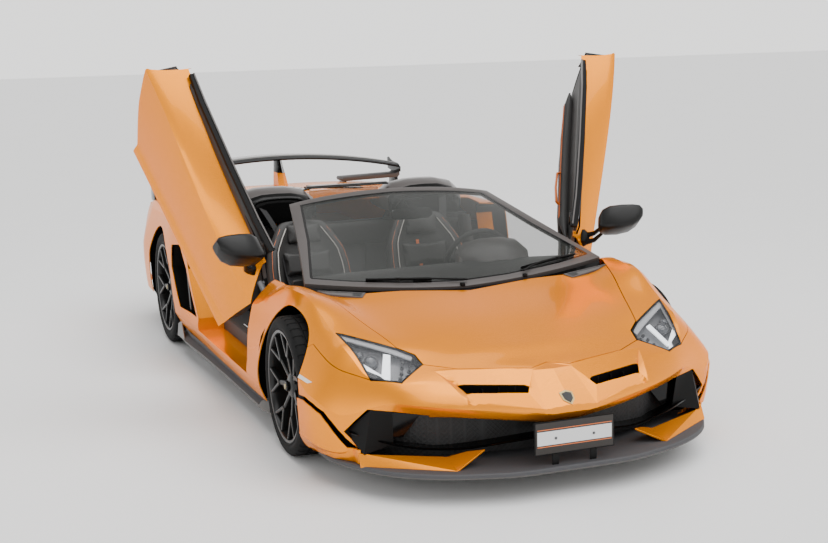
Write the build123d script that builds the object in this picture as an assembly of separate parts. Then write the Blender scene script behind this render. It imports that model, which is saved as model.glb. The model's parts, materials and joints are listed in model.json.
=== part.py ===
"""Open two-seat mid-engined supercar with scissor doors, standing with both doors raised.

Frame: +X towards the nose, +Y to the driver's left, +Z up. The origin lies on the ground,
under the middle of the overall length and width. Everything is in millimetres.
"""
from build123d import *
import math
import os

# ---- driving dimensions -------------------------------------------------------------
WHEELBASE = 2700.0
FRONT_AXLE_X = 1381.0
REAR_AXLE_X = FRONT_AXLE_X - WHEELBASE
FRONT_TRACK = 1720.0
REAR_TRACK = 1680.0
WALL = 6.0               # thickness of a body panel
SEAM = 0.3               # gap between two fixed panels
SHUT_GAP = 6.0           # gap round a panel that opens

# ---- wheels -------------------------------------------------------------------------
FRONT_TYRE_R, FRONT_TYRE_W, FRONT_RIM_R = 330.0, 255.0, 258.0
REAR_TYRE_R, REAR_TYRE_W, REAR_RIM_R = 355.0, 355.0, 271.0
TREAD_SHOULDER = 22.0    # rounding of the tyre's shoulder
RIM_FIT = 0.3            # tyre bead on rim
RIM_WALL = 10.0
SPOKES, SPOKE_FORK = 7, 13.0      # forked spokes, and how far each arm leans, in degrees
DISC_R_FRONT, DISC_R_REAR, DISC_T = 200.0, 190.0, 36.0
HUB_R = 60.0
SPINDLE_R, SPINDLE_CLEARANCE = 22.0, 0.05
FRONT_ARCH_R, REAR_ARCH_R = 378.0, 398.0
LINER_GROWTH = 24.0      # the liner is this much larger than the arch lip
LINER_WALL = 4.0

# ---- doors --------------------------------------------------------------------------
DOOR_HINGE = (760.0, 940.0, 640.0)       # a point on the left door's hinge line
DOOR_HINGE_LEAN = 0.334                  # rise of the hinge line per millimetre inboard
DOOR_OPEN_DEG = 61.3
DOOR_INNER_Y = 862.0

# ---- body sections ------------------------------------------------------------------
# half sections of the outer body, from the floor centre round to the top centre
# x, floor y z, sill y z, belt y z, shoulder y z, deck y z, top z
BODY_SECTIONS = [
    (2415, 60, 352, 110, 356, 130, 364, 110, 372, 50, 378, 380),
    (2320, 60, 286, 300, 330, 430, 386, 330, 428, 148, 446, 440),
    (2200, 200, 300, 520, 338, 640, 400, 460, 474, 150, 506, 505),
    (2110, 400, 250, 640, 310, 745, 405, 660, 482, 390, 518, 533),
    (2030, 700, 136, 870, 175, 890, 330, 772, 488, 400, 548, 560),
    (1930, 860, 130, 955, 180, 988, 400, 812, 560, 450, 575, 583),
    (1830, 930, 130, 990, 200, 1008, 420, 835, 612, 500, 602, 606),
    (1700, 960, 130, 1000, 200, 1012, 470, 840, 660, 560, 630, 634),
    (1381, 960, 130, 1010, 300, 1020, 520, 870, 772, 640, 690, 684),
    (1190, 950, 120, 1000, 240, 1010, 420, 880, 770, 760, 742, 712),
    (762, 950, 110, 1005, 240, 1000, 330, 965, 612, 850, 728, 760),
    (-520, 950, 110, 1010, 240, 1010, 330, 1038, 840, 835, 880, 920),
    (-900, 950, 120, 1030, 260, 1046, 520, 1030, 840, 800, 905, 960),
    (-1319, 950, 130, 1035, 300, 1049, 560, 990, 850, 740, 885, 935),
    (-1900, 930, 150, 1020, 260, 1035, 560, 940, 850, 640, 875, 890),
    (-2330, 880, 250, 940, 330, 950, 560, 900, 790, 600, 850, 860),
]


def half_ring(row, inset=0.0):
    """The (y, z) points of one section row, from floor centre to top centre, moved inwards by inset."""
    _, fy, fz, sy, sz, by, bz, hy, hz, dy, dz, tz = row
    points = [(0, fz), (fy, fz), (sy, sz), (by, bz), (hy, hz), (dy, dz), (0, tz)]
    if not inset:
        return points
    moved = []
    closed = [(-fy, fz), *points, (-dy, dz)]
    for before, here, after in zip(closed, closed[1:], closed[2:]):
        n1 = edge_normal(before, here)
        n2 = edge_normal(here, after)
        share = 1 + n1[0] * n2[0] + n1[1] * n2[1]
        moved.append(tuple(here[k] + inset * (n1[k] + n2[k]) / share for k in range(2)))
    return moved


def edge_normal(a, b):
    """Unit normal of the edge from a to b in the (y, z) plane, pointing to the left of its travel."""
    run, rise = b[0] - a[0], b[1] - a[1]
    size = math.hypot(run, rise)
    return (-rise / size, run / size)


def polygon_face(points):
    return Face(Wire.make_polygon([Vector(*p) for p in points], close=True))


def strip_cap(ring):
    """Triangles closing a ring whose second half runs back beside its first."""
    last = len(ring) - 1
    faces = []
    for i in range(len(ring) // 2 - 1):
        a, b, c, d = ring[i], ring[i + 1], ring[last - i - 1], ring[last - i]
        faces += [polygon_face(t) for t in ((a, b, c), (a, c, d))]
    return faces


def ring_solid(rings, flat_ends=True):
    """Closed solid through rings of points, with flat triangles between them."""
    if flat_ends:
        faces = [polygon_face(rings[0]), polygon_face(rings[-1])]
    else:
        faces = strip_cap(rings[0]) + strip_cap(rings[-1])
    for first, second in zip(rings, rings[1:]):
        count = len(first)
        for i in range(count):
            j = (i + 1) % count
            a, b, c, d = first[i], first[j], second[j], second[i]
            halves = ((a, b, c), (a, c, d)) if i < count // 2 else ((a, b, d), (b, c, d))
            faces += [polygon_face(t) for t in halves if is_real(t)]
    solid = Solid(Shell(faces))
    return solid if solid.volume > 0 else Solid(solid.wrapped.Reversed())


def is_real(triangle):
    a, b, c = (Vector(*p) for p in triangle)
    return (b - a).cross(c - a).length > 1e-3


def body_solid(inset=0.0, end_inset=0.0):
    """The whole body's outer form, or the same form moved inwards."""
    rings = []
    for row in BODY_SECTIONS:
        x = row[0]
        if row is BODY_SECTIONS[0]:
            x -= end_inset
        if row is BODY_SECTIONS[-1]:
            x += end_inset
        half = half_ring(row, inset)
        full = half + [(-y, z) for y, z in half[-2:0:-1]]
        rings.append([(x, y, z) for y, z in full])
    return ring_solid(rings)


def side_prism(points, y_from, y_to):
    """Prism with a side-view outline of (x, z) points, between two widths."""
    face = polygon_face([(x, y_from, z) for x, z in points])
    return extrude_along(face, (0, y_to - y_from, 0))


def plan_prism(points, z_from, z_to):
    """Prism with a top-view outline of (x, y) points, between two heights."""
    face = polygon_face([(x, y, z_from) for x, y in points])
    return extrude_along(face, (0, 0, z_to - z_from))


def extrude_along(face, travel):
    way = Vector(*travel)
    return Solid.extrude(face, way)


def block(x0, x1, y0, y1, z0, z1):
    return Pos((x0 + x1) / 2, (y0 + y1) / 2, (z0 + z1) / 2) * Box(x1 - x0, y1 - y0, z1 - z0)



def grown(points, distance):
    """A convex 2D outline moved outwards by distance, or inwards if it is negative."""
    turn = sum(a[0] * b[1] - b[0] * a[1] for a, b in zip(points, points[1:] + points[:1]))
    side = -1 if turn > 0 else 1
    moved = []
    for before, here, after in zip(points[-1:] + points[:-1], points, points[1:] + points[:1]):
        n1, n2 = edge_normal(before, here), edge_normal(here, after)
        share = 1 + n1[0] * n2[0] + n1[1] * n2[1]
        moved.append(tuple(here[k] + side * distance * (n1[k] + n2[k]) / share for k in range(2)))
    return moved


def across(radius, y_from, y_to, x, z):
    """Cylinder along Y between two widths."""
    return Pos(x, (y_from + y_to) / 2, z) * Rot(90, 0, 0) * Cylinder(radius, abs(y_to - y_from))


def along(radius, x_from, x_to, y, z):
    """Cylinder along X between two stations."""
    return Pos((x_from + x_to) / 2, y, z) * Rot(0, 90, 0) * Cylinder(radius, abs(x_to - x_from))


def plate_holes(x_from, x_to, z):
    """The two screw holes of a number plate."""
    return [along(PLATE_HOLE_R, x_from, x_to, y, z) for y in (-PLATE_PITCH / 2, PLATE_PITCH / 2)]


def upright_pin(radius, z_from, z_to, x, y):
    return Pos(x, y, (z_from + z_to) / 2) * Cylinder(radius, z_to - z_from)


def other_side(shape):
    """The same piece on the car's right."""
    return mirror(shape, about=Plane.XZ)


def both_sides(shape):
    return Compound([*solids_of(shape), *solids_of(other_side(shape))])


def solids_of(shape):
    return list(shape.solids())


def save(name, shape):
    pieces = solids_of(shape)
    export_step(pieces[0] if len(pieces) == 1 else Compound(pieces), f"parts/{name}.step")


# ---- outlines that neighbours share --------------------------------------------------
HOOD_PLAN = [(2173, 0), (2212, 90), (2118, 402), (2037, 530), (1963, 540), (1900, 603), (1262, 785),
             (1262, 560), (1325, 0)]
LAMP_PLAN = [(1731, 829), (1900, 603), (1963, 540), (2037, 530), (2112, 654), (2031, 770)]
COVER_PLAN = [(-940, 0), (-940, 300), (-1100, 430), (-1900, 520), (-1960, 470), (-1960, 0)]
CABIN_PLAN = [(1325, 0), (1262, 560), (1262, 785), (1180, 812), (770, 835), (-640, 835), (-640, 0)]
DOOR_SIDE = [(738, 262), (770, 612), (625, 723), (600, 800), (-428, 886), (-520, 840), (-455, 610),
             (-347, 330), (-346, 262)]
BUMPER_SIDE = [(2600, 40), (2600, 700), (2080, 700), (2030, 486), (1690, 590), (1640, 560), (1640, 40)]
INTAKE_SIDE = [(-395, 330), (-500, 600), (-640, 730), (-860, 700), (-890, 560), (-760, 330)]
MOUTH_PLAN = [(1950, 870), (2032, 780), (2170, 600), (2250, 387), (2300, 150), (2325, 0)]
SCREEN_ROWS = [           # windscreen surface, bottom to top: middle, quarter and edge points
    ((1288, 0, 708), (1256, 400, 730), (1180, 800, 772)),
    ((760, 0, 905), (748, 360, 893), (700, 690, 905)),
    ((205, 0, 1087), (205, 320, 1072), (208, 590, 1034)),
]
SCREEN_T, GLASS_T, GLASS_MARGIN = 26.0, 5.0, 46.0
SILL_TOP, SKIRT_TOP, SKIRT_BASE = 262.0, 175.0, 112.0
TAIL_X, TAIL_LOW = -2240.0, 400.0
TUB_FLOOR, TUB_FLOOR_T, TUB_HALF, FOOTWELL_HALF = 115.0, 25.0, 855.0, 545.0
CABIN_REAR_X, TUB_FRONT_X, POST_X, FOOTWELL_X = -640.0, 965.0, 745.0, 1150.0
FRONT_RAIL_Y, FRONT_RAIL_T = 430.0, 40.0
REAR_RAIL_Y, REAR_RAIL_T = 400.0, 40.0
KINGPIN_IN = 85.0
ARM_Z, ARM_T, ARM_REACH = 100.0, 16.0, 180.0
PIN_R, PIN_CLEARANCE = 10.0, 0.05
STEERING_X, STEERING_Y, STEERING_Z, STEERING_RAKE = 560.0, 370.0, 700.0, 22.0
STEERING_R, STEERING_SHAFT_R = 178.0, 18.0
SEAT_Y = 370.0
WING_X, WING_Z, WING_HALF, WING_CHORD = -2200.0, 1071.0, 900.0, 250.0
WING_DROP = 100.0          # how far the ends hang below the middle
HINGE_PIN_R = 12.0
PLATE_PITCH, PLATE_HOLE_R = 177.8, 3.5
FRONT_PLATE_X, FRONT_PLATE_Z, REAR_PLATE_Z = 2437.0, 253.0, 760.0
TOW_EYE_R, TOW_EYE_Y, TOW_EYE_Z = 7.0, -300.0, 272.0
LID_PIN_R, LID_BOSS_R, LID_BOSS_W = 6.0, 11.0, 14.0
HOOD_HINGE = (1290.0, 690.0, 690.0)      # middle of the left hinge boss
COVER_HINGE = (-985.0, 200.0, 921.0)
COVER_SLOT_X = -972.0    # front edge of the engine cover, behind its air slot


def whole_plan(half):
    """A half top-view outline, starting and ending on the middle line, completed about it."""
    return half + [(x, -y) for x, y in half[::-1] if y > 0]


# ---- body panels ---------------------------------------------------------------------
def arches(extra=0.0):
    front = across(FRONT_ARCH_R + extra, 560, 1300, FRONT_AXLE_X, FRONT_TYRE_R)
    rear = across(REAR_ARCH_R + extra, 560, 1300, REAR_AXLE_X, REAR_TYRE_R)
    return [front, rear]


def cut(shape, tools):
    for tool in tools:
        shape = shape - tool
    return shape


def largest(shape):
    return max(solids_of(shape), key=lambda s: s.volume)


def mouth_cutter():
    """Everything behind and below the front intake's top edge, as far out as its outer corner."""
    low = [(2060, 0), (2060, 700), (1900, 820)]
    reach = [(x - 12, y) for x, y in MOUTH_PLAN]
    top = plan_prism(whole_plan(reach[::-1] + low[::-1]), 0, 352)
    lip = [(2600, 0), (2600, 800), (2110, 846), (1960, 868), (1900, 800), (1900, 0)]
    return top + plan_prism(whole_plan(lip), 0, 283)


def make_panels(shell):
    """Left-hand and middle panels, cut out of one body shell."""
    left = block(-3000, 3000, 0, 1400, 0, 1500)
    shell_left = shell & left
    lamp_hole = plan_prism(LAMP_PLAN, 430, 720)
    hood_hole = plan_prism(whole_plan(HOOD_PLAN), 440, 900)
    door_hole = side_prism(grown(DOOR_SIDE, SHUT_GAP), 700, 1400)
    cover_hole = plan_prism(whole_plan(COVER_PLAN), 700, 1200)
    cabin_hole = plan_prism(whole_plan(CABIN_PLAN), 620, 1200)
    parts = {}
    bumper = shell_left & side_prism(BUMPER_SIDE, 0, 1400) & block(0, 3000, 0, 1400, 136, 1500)
    parts["front_bumper"] = cut(bumper, [hood_hole, lamp_hole, *arches(), mouth_cutter()])
    fender = shell_left & block(776, 3000, 0, 1400, SILL_TOP + SEAM, 1500)
    seam = side_prism(grown(BUMPER_SIDE, SEAM), 0, 1400)
    parts["fender_left"] = cut(fender, [seam, hood_hole, lamp_hole, door_hole, cabin_hole, *arches()])
    quarter = shell_left & block(TAIL_X + SEAM, 700, 0, 1400, SILL_TOP + SEAM, 1500)
    intake = side_prism(INTAKE_SIDE, 700, 1400)
    parts["quarter_left"] = cut(quarter, [cover_hole, door_hole, cabin_hole, intake, *arches()])
    sill_zone = block(-2000, 2000, 0, 1400, SKIRT_TOP + SEAM, SILL_TOP)
    between = block(-1000, 1100, 900, 1400, 0, 1500)
    parts["sill_left"] = cut(shell_left & sill_zone & between, arches())
    skirt_zone = block(-2000, 2000, 0, 1400, SKIRT_BASE, SKIRT_TOP)
    parts["skirt_left"] = cut(shell_left & skirt_zone & between, arches())
    parts["hood"] = shell & plan_prism(grown(whole_plan(HOOD_PLAN), -SHUT_GAP), 440, 900)
    cover = shell & plan_prism(grown(whole_plan(COVER_PLAN), -SHUT_GAP), 700, 1200)
    parts["engine_cover"] = cover & block(-3000, COVER_SLOT_X, -1400, 1400, 0, 1500)
    parts["door_skin_left"] = shell_left & side_prism(DOOR_SIDE, 822, 1400)
    parts["lamp_left"] = shell_left & plan_prism(grown(LAMP_PLAN, -SEAM), 430, 720)
    tail = shell & block(-3000, TAIL_X, -1400, 1400, TAIL_LOW, 1500)
    tail = tail - block(-2400, -2300, -125, 125, 440, 660)
    parts["rear_fascia"] = cut(tail, plate_holes(-2400, -2300, REAR_PLATE_Z))
    return {name: largest(shape) for name, shape in parts.items()}


# ---- wheels and suspension -----------------------------------------------------------
def turned(profile):
    """Solid of revolution about Y from (radius, y) points."""
    face = polygon_face([(r, y, 0) for r, y in profile])
    return revolve(face, Axis.Y, 360)


def tyre(radius, width, rim_r):
    half, bead, bore = width / 2, width / 2 - 12, rim_r + RIM_FIT
    tread = half - TREAD_SHOULDER
    profile = [(bore, bead), (rim_r + 9, bead), (rim_r + 30, half), (radius - TREAD_SHOULDER, half),
               (radius, tread), (radius, -tread), (radius - TREAD_SHOULDER, -half),
               (rim_r + 30, -half), (rim_r + 9, -bead), (bore, -bead), (bore, 16 - bead),
               (rim_r + 34, 16 - half), (radius - 16, 22 - half), (radius - 16, half - 22),
               (rim_r + 34, half - 16), (bore, bead - 16)]
    return turned(profile)


def rim(width, rim_r, disc_r):
    edge = width / 2 - 12 + RIM_FIT
    out = edge + 6
    lip, inside = rim_r + 8, rim_r - RIM_WALL
    barrel = turned([(inside, -out), (inside, out), (lip, out), (lip, edge), (rim_r, edge),
                     (rim_r, -edge), (lip, -edge), (lip, -out)])
    face_y = width / 2 - 26
    solid = barrel + across(HUB_R, -56, face_y, 0, 0) + across(disc_r, -56, DISC_T - 56, 0, 0)
    fork_r = 0.62 * rim_r
    fork = math.radians(SPOKE_FORK)
    tip_x, tip_z = (rim_r - 5) * math.cos(fork), (rim_r - 5) * math.sin(fork)
    swing = math.degrees(math.atan2(tip_z, tip_x - fork_r))
    reach = math.hypot(tip_z, tip_x - fork_r)
    for spoke in range(SPOKES):
        turn = Rot(0, 90 + 360 / SPOKES * spoke, 0)
        solid = solid + turn * block(HUB_R - 10, fork_r + 4, face_y - 26, face_y, -11, 11)
        for lean in (-1, 1):
            arm = Pos(fork_r, 0, 0) * Rot(0, swing * lean, 0) * block(-4, reach, face_y - 24, face_y - 2, -8, 8)
            solid = solid + turn * arm
    return solid - across(SPINDLE_R + SPINDLE_CLEARANCE, -60, 40, 0, 0)


def knuckle():
    """Upright with its wheel spindle and the two ball-joint pins; wheel centre at the origin."""
    solid = block(-55, 55, -110, -62, -ARM_Z + 5, ARM_Z - 5)
    solid = solid + across(SPINDLE_R, -80, 38, 0, 0)
    return solid + upright_pin(PIN_R, -ARM_Z - ARM_T, ARM_Z + ARM_T, 0, -KINGPIN_IN)


def caliper(disc_r, toward):
    """Brake caliper over the disc, on a bracket that meets the upright, ahead (1) or behind (-1)."""
    ring = across(disc_r + 34, -96, 12, 0, 0) - across(disc_r - 72, -100, 20, 0, 0)
    ring = ring & block(60, 400, -100, 20, -110, 110)
    body = ring - across(disc_r + 6, -61, -15, 0, 0)
    body = body + block(55 + SEAM, disc_r - 40, -108, -80, -40, 40)
    return body if toward > 0 else mirror(body, about=Plane.YZ)


def wishbone(rail_y, tip_y):
    """Flat A-arm plate from a rail face to the ball-joint pin, in plan, underside at z = 0."""
    outline = [(ARM_REACH, rail_y), (20, tip_y + 6), (-20, tip_y + 6), (-ARM_REACH, rail_y)]
    window = [(ARM_REACH - 60, rail_y + 24), (0, tip_y - 70), (60 - ARM_REACH, rail_y + 24)]
    plate = plan_prism(outline, 0, ARM_T) + upright_pin(20, 0, ARM_T, 0, tip_y)
    return plate - plan_prism(window, -1, ARM_T + 1) - upright_pin(PIN_R + PIN_CLEARANCE, -1, 50, 0, tip_y)


def make_corner(axle_x, tyre_r, tyre_w, track, rim_r, disc_r, rail_y, toward):
    place = Pos(axle_x, track / 2, tyre_r)
    arm = wishbone(rail_y + SEAM, track / 2 - KINGPIN_IN)
    lower = Pos(axle_x, 0, tyre_r - ARM_Z - ARM_T) * arm
    upper = Pos(axle_x, 0, tyre_r + ARM_Z) * arm
    return {"tyre": place * tyre(tyre_r, tyre_w, rim_r), "rim": place * rim(tyre_w, rim_r, disc_r),
            "knuckle": place * knuckle(), "caliper": place * caliper(disc_r, toward),
            "arms": Compound([*solids_of(lower), *solids_of(upper)])}


def liner(inner, axle_x, tyre_r, arch_r):
    outer_r = arch_r + LINER_GROWTH + LINER_WALL
    ring = across(outer_r, 590, 1300, axle_x, tyre_r) - across(outer_r - LINER_WALL, 580, 1310, axle_x, tyre_r)
    ring = ring & inner & block(axle_x - 600, axle_x + 600, 0, 1400, 180, 1500)
    hood_sweep = plan_prism(grown(whole_plan(HOOD_PLAN), 10), 560, 900) + block(1150, 1300, 0, 800, 640, 900)
    return ring - hood_sweep


# ---- chassis, cabin and rear ---------------------------------------------------------
def make_tub():
    floor = TUB_FLOOR + TUB_FLOOR_T
    solid = block(CABIN_REAR_X - 20, TUB_FRONT_X, -TUB_HALF, TUB_HALF, TUB_FLOOR, floor)
    solid = solid + block(TUB_FRONT_X - 1, FOOTWELL_X, -FOOTWELL_HALF, FOOTWELL_HALF, TUB_FLOOR, floor)
    solid = solid + block(CABIN_REAR_X - 20, CABIN_REAR_X, -820, 820, floor - 1, 800)
    solid = solid + block(FOOTWELL_X, FOOTWELL_X + 20, -FOOTWELL_HALF, FOOTWELL_HALF, TUB_FLOOR, 600)
    for y in (-1, 1):
        solid = solid + block(CABIN_REAR_X, TUB_FRONT_X, min(y * 690, y * TUB_HALF),
                              max(y * 690, y * TUB_HALF), TUB_FLOOR, 330)
        solid = solid + block(POST_X, TUB_FRONT_X, min(y * 790, y * TUB_HALF),
                              max(y * 790, y * TUB_HALF), 329, 700)
        solid = solid + block(TUB_FRONT_X - 20, TUB_FRONT_X, min(y * 525, y * 800),
                              max(y * 525, y * 800), TUB_FLOOR, 700)
        solid = solid + block(TUB_FRONT_X - 1, FOOTWELL_X + 1, min(y * 525, y * FOOTWELL_HALF),
                              max(y * 525, y * FOOTWELL_HALF), TUB_FLOOR, 600)
    return solid + block(CABIN_REAR_X, 1000, -110, 110, floor - 1, 330)


def make_front_frame():
    solid = block(FOOTWELL_X + 20 + SEAM, 2090, FRONT_RAIL_Y, FRONT_RAIL_Y + FRONT_RAIL_T, 190, 470)
    solid = solid + other_side(solid)
    solid = solid + block(2050, 2090, -490, 490, 250, 400)
    solid = solid + block(1215, 1255, -715, 715, 655, 688) + block(1215, 1255, -600, 600, 687, 696)
    for y in (-450, 450):
        solid = solid + block(1215, 1255, y - 20, y + 20, 469, 656)
    tow_eye = along(TOW_EYE_R, 2040, 2100, TOW_EYE_Y, TOW_EYE_Z)
    return solid + lid_pins(HOOD_HINGE, 1250) - tow_eye


def lid_pins(hinge, beam_x):
    """Both hinge pins of a lid, on lugs that stand off the beam behind or ahead of them."""
    x, y, z = hinge
    near, far = sorted((beam_x, x))
    y0, y1 = y - LID_BOSS_W / 2 - 10, y - LID_BOSS_W / 2 - 2
    lug = block(near - 8, far + 8, y0, y1, z - 26, z - 14) + block(x - 8, x + 8, y0, y1, z - 26, z + LID_PIN_R)
    lug = lug + across(LID_PIN_R, y - LID_BOSS_W / 2 - 4, y + LID_BOSS_W / 2 + 2, x, z)
    return lug + other_side(lug)


def lid_bosses(hinge, inner):
    """The lid's two hinge bosses, rising to the underside of its skin."""
    x, y, z = hinge
    half = LID_BOSS_W / 2
    boss = across(LID_BOSS_R, y - half, y + half, x, z)
    boss = boss + (block(x - LID_BOSS_R, x + LID_BOSS_R, y - half, y + half, z, z + 90) & inner)
    boss = boss - across(LID_PIN_R + PIN_CLEARANCE, y - half - 1, y + half + 1, x, z)
    return boss + other_side(boss)


def make_luggage_tub():
    outside = block(1301, 2049, -429.7, 429.7, 170, 480)
    return outside - block(1307, 2043, -423, 423, 178, 500)


def make_rear_frame(inner):
    rail = block(-2230, CABIN_REAR_X - 20 - SEAM, REAR_RAIL_Y, REAR_RAIL_Y + REAR_RAIL_T, 230, 480)
    solid = rail + other_side(rail)
    solid = solid - block(-2300, -1900, -500, 500, 200, 380)
    for x, z in ((-700, 230), (-1840, 230)):
        solid = solid + block(x - 40, x, -REAR_RAIL_Y - 1, REAR_RAIL_Y + 1, z, z + 60)
    solid = solid + (block(-2230, -2200, -1100, 1100, 380, 480) & inner)
    solid = solid + block(-935, -905, -440, 440, 890, 920)
    for y in (-420, 420):
        solid = solid + block(-935, -905, y - 20, y + 20, 479, 891)
    return solid + lid_pins(COVER_HINGE, -935)


def make_seat():
    cushion = side_prism([(400, 250), (380, 330), (-60, 260), (-150, 200), (-150, 160), (300, 160)], -240, 240)
    back = side_prism([(-40, 240), (-100, 420), (-330, 860), (-420, 860), (-300, 300), (-150, 170)], -250, 250)
    seat = cushion + back
    for y in (-180, 180):
        seat = seat + block(-120, 300, y - 20, y + 20, TUB_FLOOR + TUB_FLOOR_T + SEAM, 161)
    return Pos(0, SEAT_Y, 0) * seat


def make_dashboard():
    outline = [(880, 420), (1080, 420), (1140, 640), (1140, 700), (1000, 748), (880, 756), (790, 700), (760, 560)]
    wings = side_prism([(800, 560), (944, 560), (944, 735), (850, 730)], -789.7, 789.7)
    solid = side_prism(outline, -520, 520) + wings + steering_line(34, -190, -330)
    return solid - steering_line(STEERING_SHAFT_R + PIN_CLEARANCE, -180, -600)


def steering_line(radius, start, stop):
    """Cylinder on the steering axis, between two distances towards the driver from the wheel's hub."""
    near, far = sorted((start, stop))
    return on_steering(upright_pin(radius, near, far, 0, 0))


def on_steering(shape):
    return Pos(STEERING_X, STEERING_Y, STEERING_Z) * Rot(0, STEERING_RAKE - 90, 0) * shape


def make_console():
    outline = [(-600, 331), (-600, 420), (-100, 400), (420, 440), (759, 600), (759, 331)]
    return side_prism([(x, z if z > 331 else 330 + SEAM) for x, z in outline], -105, 105)


def make_steering_wheel():
    ring = revolve(Pos(STEERING_R, 0, 0) * Rot(90, 0, 0) * Circle(15), Axis.Z, 360)
    solid = ring + Cylinder(48, 40)
    for angle in (90, 180, 270):
        solid = solid + Rot(0, 0, angle) * block(40, STEERING_R, -14, 14, -8, 8)
    return on_steering(solid + upright_pin(STEERING_SHAFT_R, -300, 0, 0, 0))


def screen_ring(row, drop):
    """One windscreen section as a closed ring, thick by SCREEN_T below the surface."""
    half = row
    top = [(x, -y, z) for x, y, z in half[:0:-1]] + list(half)
    low = [(x - drop * 0.5, y, z - drop * 0.87) for x, y, z in top]
    return top + low[::-1]


def make_engine():
    """Plain block for the engine and gearbox, with the two mounts that meet the rear frame."""
    reach = REAR_RAIL_Y - SEAM
    return block(-1760, -750, -300, 300, 195, 700) + block(-1300, -1200, -reach, reach, 300, 360)


def make_windscreen():
    """Windscreen frame and the glass let into it."""
    slab = ring_solid([screen_ring(row, SCREEN_T) for row in SCREEN_ROWS], flat_ends=False)
    (x0, _, _), _, (xe0, ye0, _) = SCREEN_ROWS[0]
    (x1, _, _), _, (_, ye1, _) = SCREEN_ROWS[-1]
    xm, ym = SCREEN_ROWS[1][2][:2]
    plan = [(x0 - GLASS_MARGIN, 0), (xe0 - GLASS_MARGIN, ye0 - GLASS_MARGIN), (xm, ym - GLASS_MARGIN),
            (x1 + GLASS_MARGIN, ye1 - GLASS_MARGIN), (x1 + GLASS_MARGIN, 0)]
    frame = slab - plan_prism(whole_plan(plan), 500, 1300)
    pane = slab & plan_prism(grown(whole_plan(plan), -SEAM), 500, 1300)
    return frame, pane - Pos(0, 0, -GLASS_T) * slab


def make_hump():
    """Left fairing behind the seat, over the rollover hoop."""
    rings = []
    for x, y0, y1, base, top in ((-440, 240, 700, 800, 985), (-560, 225, 735, 800, 1045),
                                 (-700, 230, 740, 800, 1035), (-935, 270, 716, 800, 945)):
        middle = (y0 + y1) / 2
        rings.append([(x, y0, base), (x, y0, top - 70), (x, middle - 70, top), (x, middle + 70, top),
                      (x, y1, top - 80), (x, y1, base)])
    return ring_solid(rings)


def make_intake(inner):
    """Side air intake: a dark tray behind the opening, with its blade."""
    duct = side_prism(grown(INTAKE_SIDE, 9), 905, 1400) & inner
    blade = side_prism([(-530, 350), (-600, 640), (-640, 640), (-570, 350)], 910, 1010)
    return largest(duct - side_prism(grown(INTAKE_SIDE, 3), 915, 1400) + blade)


def make_wing():
    """Arched blade with a foot at each end."""
    chord = WING_CHORD / 2
    profile = [(chord, -6), (chord * 0.7, 8), (0, 14), (-chord, 12), (-chord, 4), (0, -8)]
    rings = []
    for step in range(-4, 5):
        height = WING_Z - WING_DROP * (step / 4) ** 2
        rings.append([(WING_X + x, WING_HALF * step / 4, height + z) for x, z in profile])
    end_z = WING_Z - WING_DROP
    foot_plan = [(WING_HALF - 22, end_z), (WING_HALF, end_z), (905, 818), (875, 818)]
    foot_face = polygon_face([(WING_X + 60, y, z) for y, z in foot_plan])
    foot = extrude_along(foot_face, (-130, 0, 0))
    return ring_solid(rings) + foot + other_side(foot)


def make_wing_pylon():
    outline = [(-2000, 878), (-2110, WING_Z - 8.5), (-2220, WING_Z - 9), (-2200, 862)]
    return side_prism(outline, -35, 35)


def make_diffuser():
    solid = side_prism([(-1770, 150), (-1770, 160), (-2440, 320), (-2471, 320), (-2471, 308)], -760, 760)
    for y in (-620, -380, -130, 130, 380, 620):
        fin = side_prism([(-1900, 184), (-2471, 315), (-2471, 180), (-1960, 150)], y - 6, y + 6)
        solid = solid + fin
    return solid + block(-2231, -2200, -700, 700, 264, 380 - SEAM)


def make_door(inner):
    """Left door's inner trim, with the hinge arm that turns on the pin."""
    trim = inner & side_prism(grown(DOOR_SIDE, -14), DOOR_INNER_Y, 1400)
    boss = hinge_cylinder(17, 45, 78)
    arm = block(690, 757, 868, 892, 600, 652)
    return largest(trim) + arm + boss - hinge_cylinder(HINGE_PIN_R + PIN_CLEARANCE, 40, 82)


def hinge_cylinder(radius, start, stop):
    """Cylinder on the left door's hinge line, between two distances inboard of the hinge point."""
    hx, hy, hz = DOOR_HINGE
    lean = math.atan(DOOR_HINGE_LEAN)
    way = (0, -math.cos(lean), math.sin(lean))
    middle = (start + stop) / 2
    centre = (hx, hy + way[1] * middle, hz + way[2] * middle)
    return Plane(origin=centre, z_dir=way) * Cylinder(radius, stop - start)


def raised(shape):
    """A left door piece turned from shut to the open stand it rests in."""
    lean = math.atan(DOOR_HINGE_LEAN)
    line = Axis(DOOR_HINGE, (0, math.cos(lean), -math.sin(lean)))
    return shape.rotate(line, DOOR_OPEN_DEG)


def make_mirror():
    """Left door mirror on its arm, placed for the shut door."""
    head = side_prism([(650, 845), (610, 975), (500, 980), (500, 868)], 960, 1162)
    arm = side_prism([(650, 700), (630, 870), (590, 870), (580, 710)], 1000, 1020)
    return head + arm + block(580, 650, 900, 1019, 640, 716)


def make_splitter():
    plan = [(2471, 0), (2466, 250), (2380, 560), (2199, 782), (1900, 930), (1775, 935), (1775, 860),
            (1900, 700), (2050, 500), (2100, 0)]
    return plan_prism(whole_plan(plan), 112, 136 - SEAM)


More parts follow.
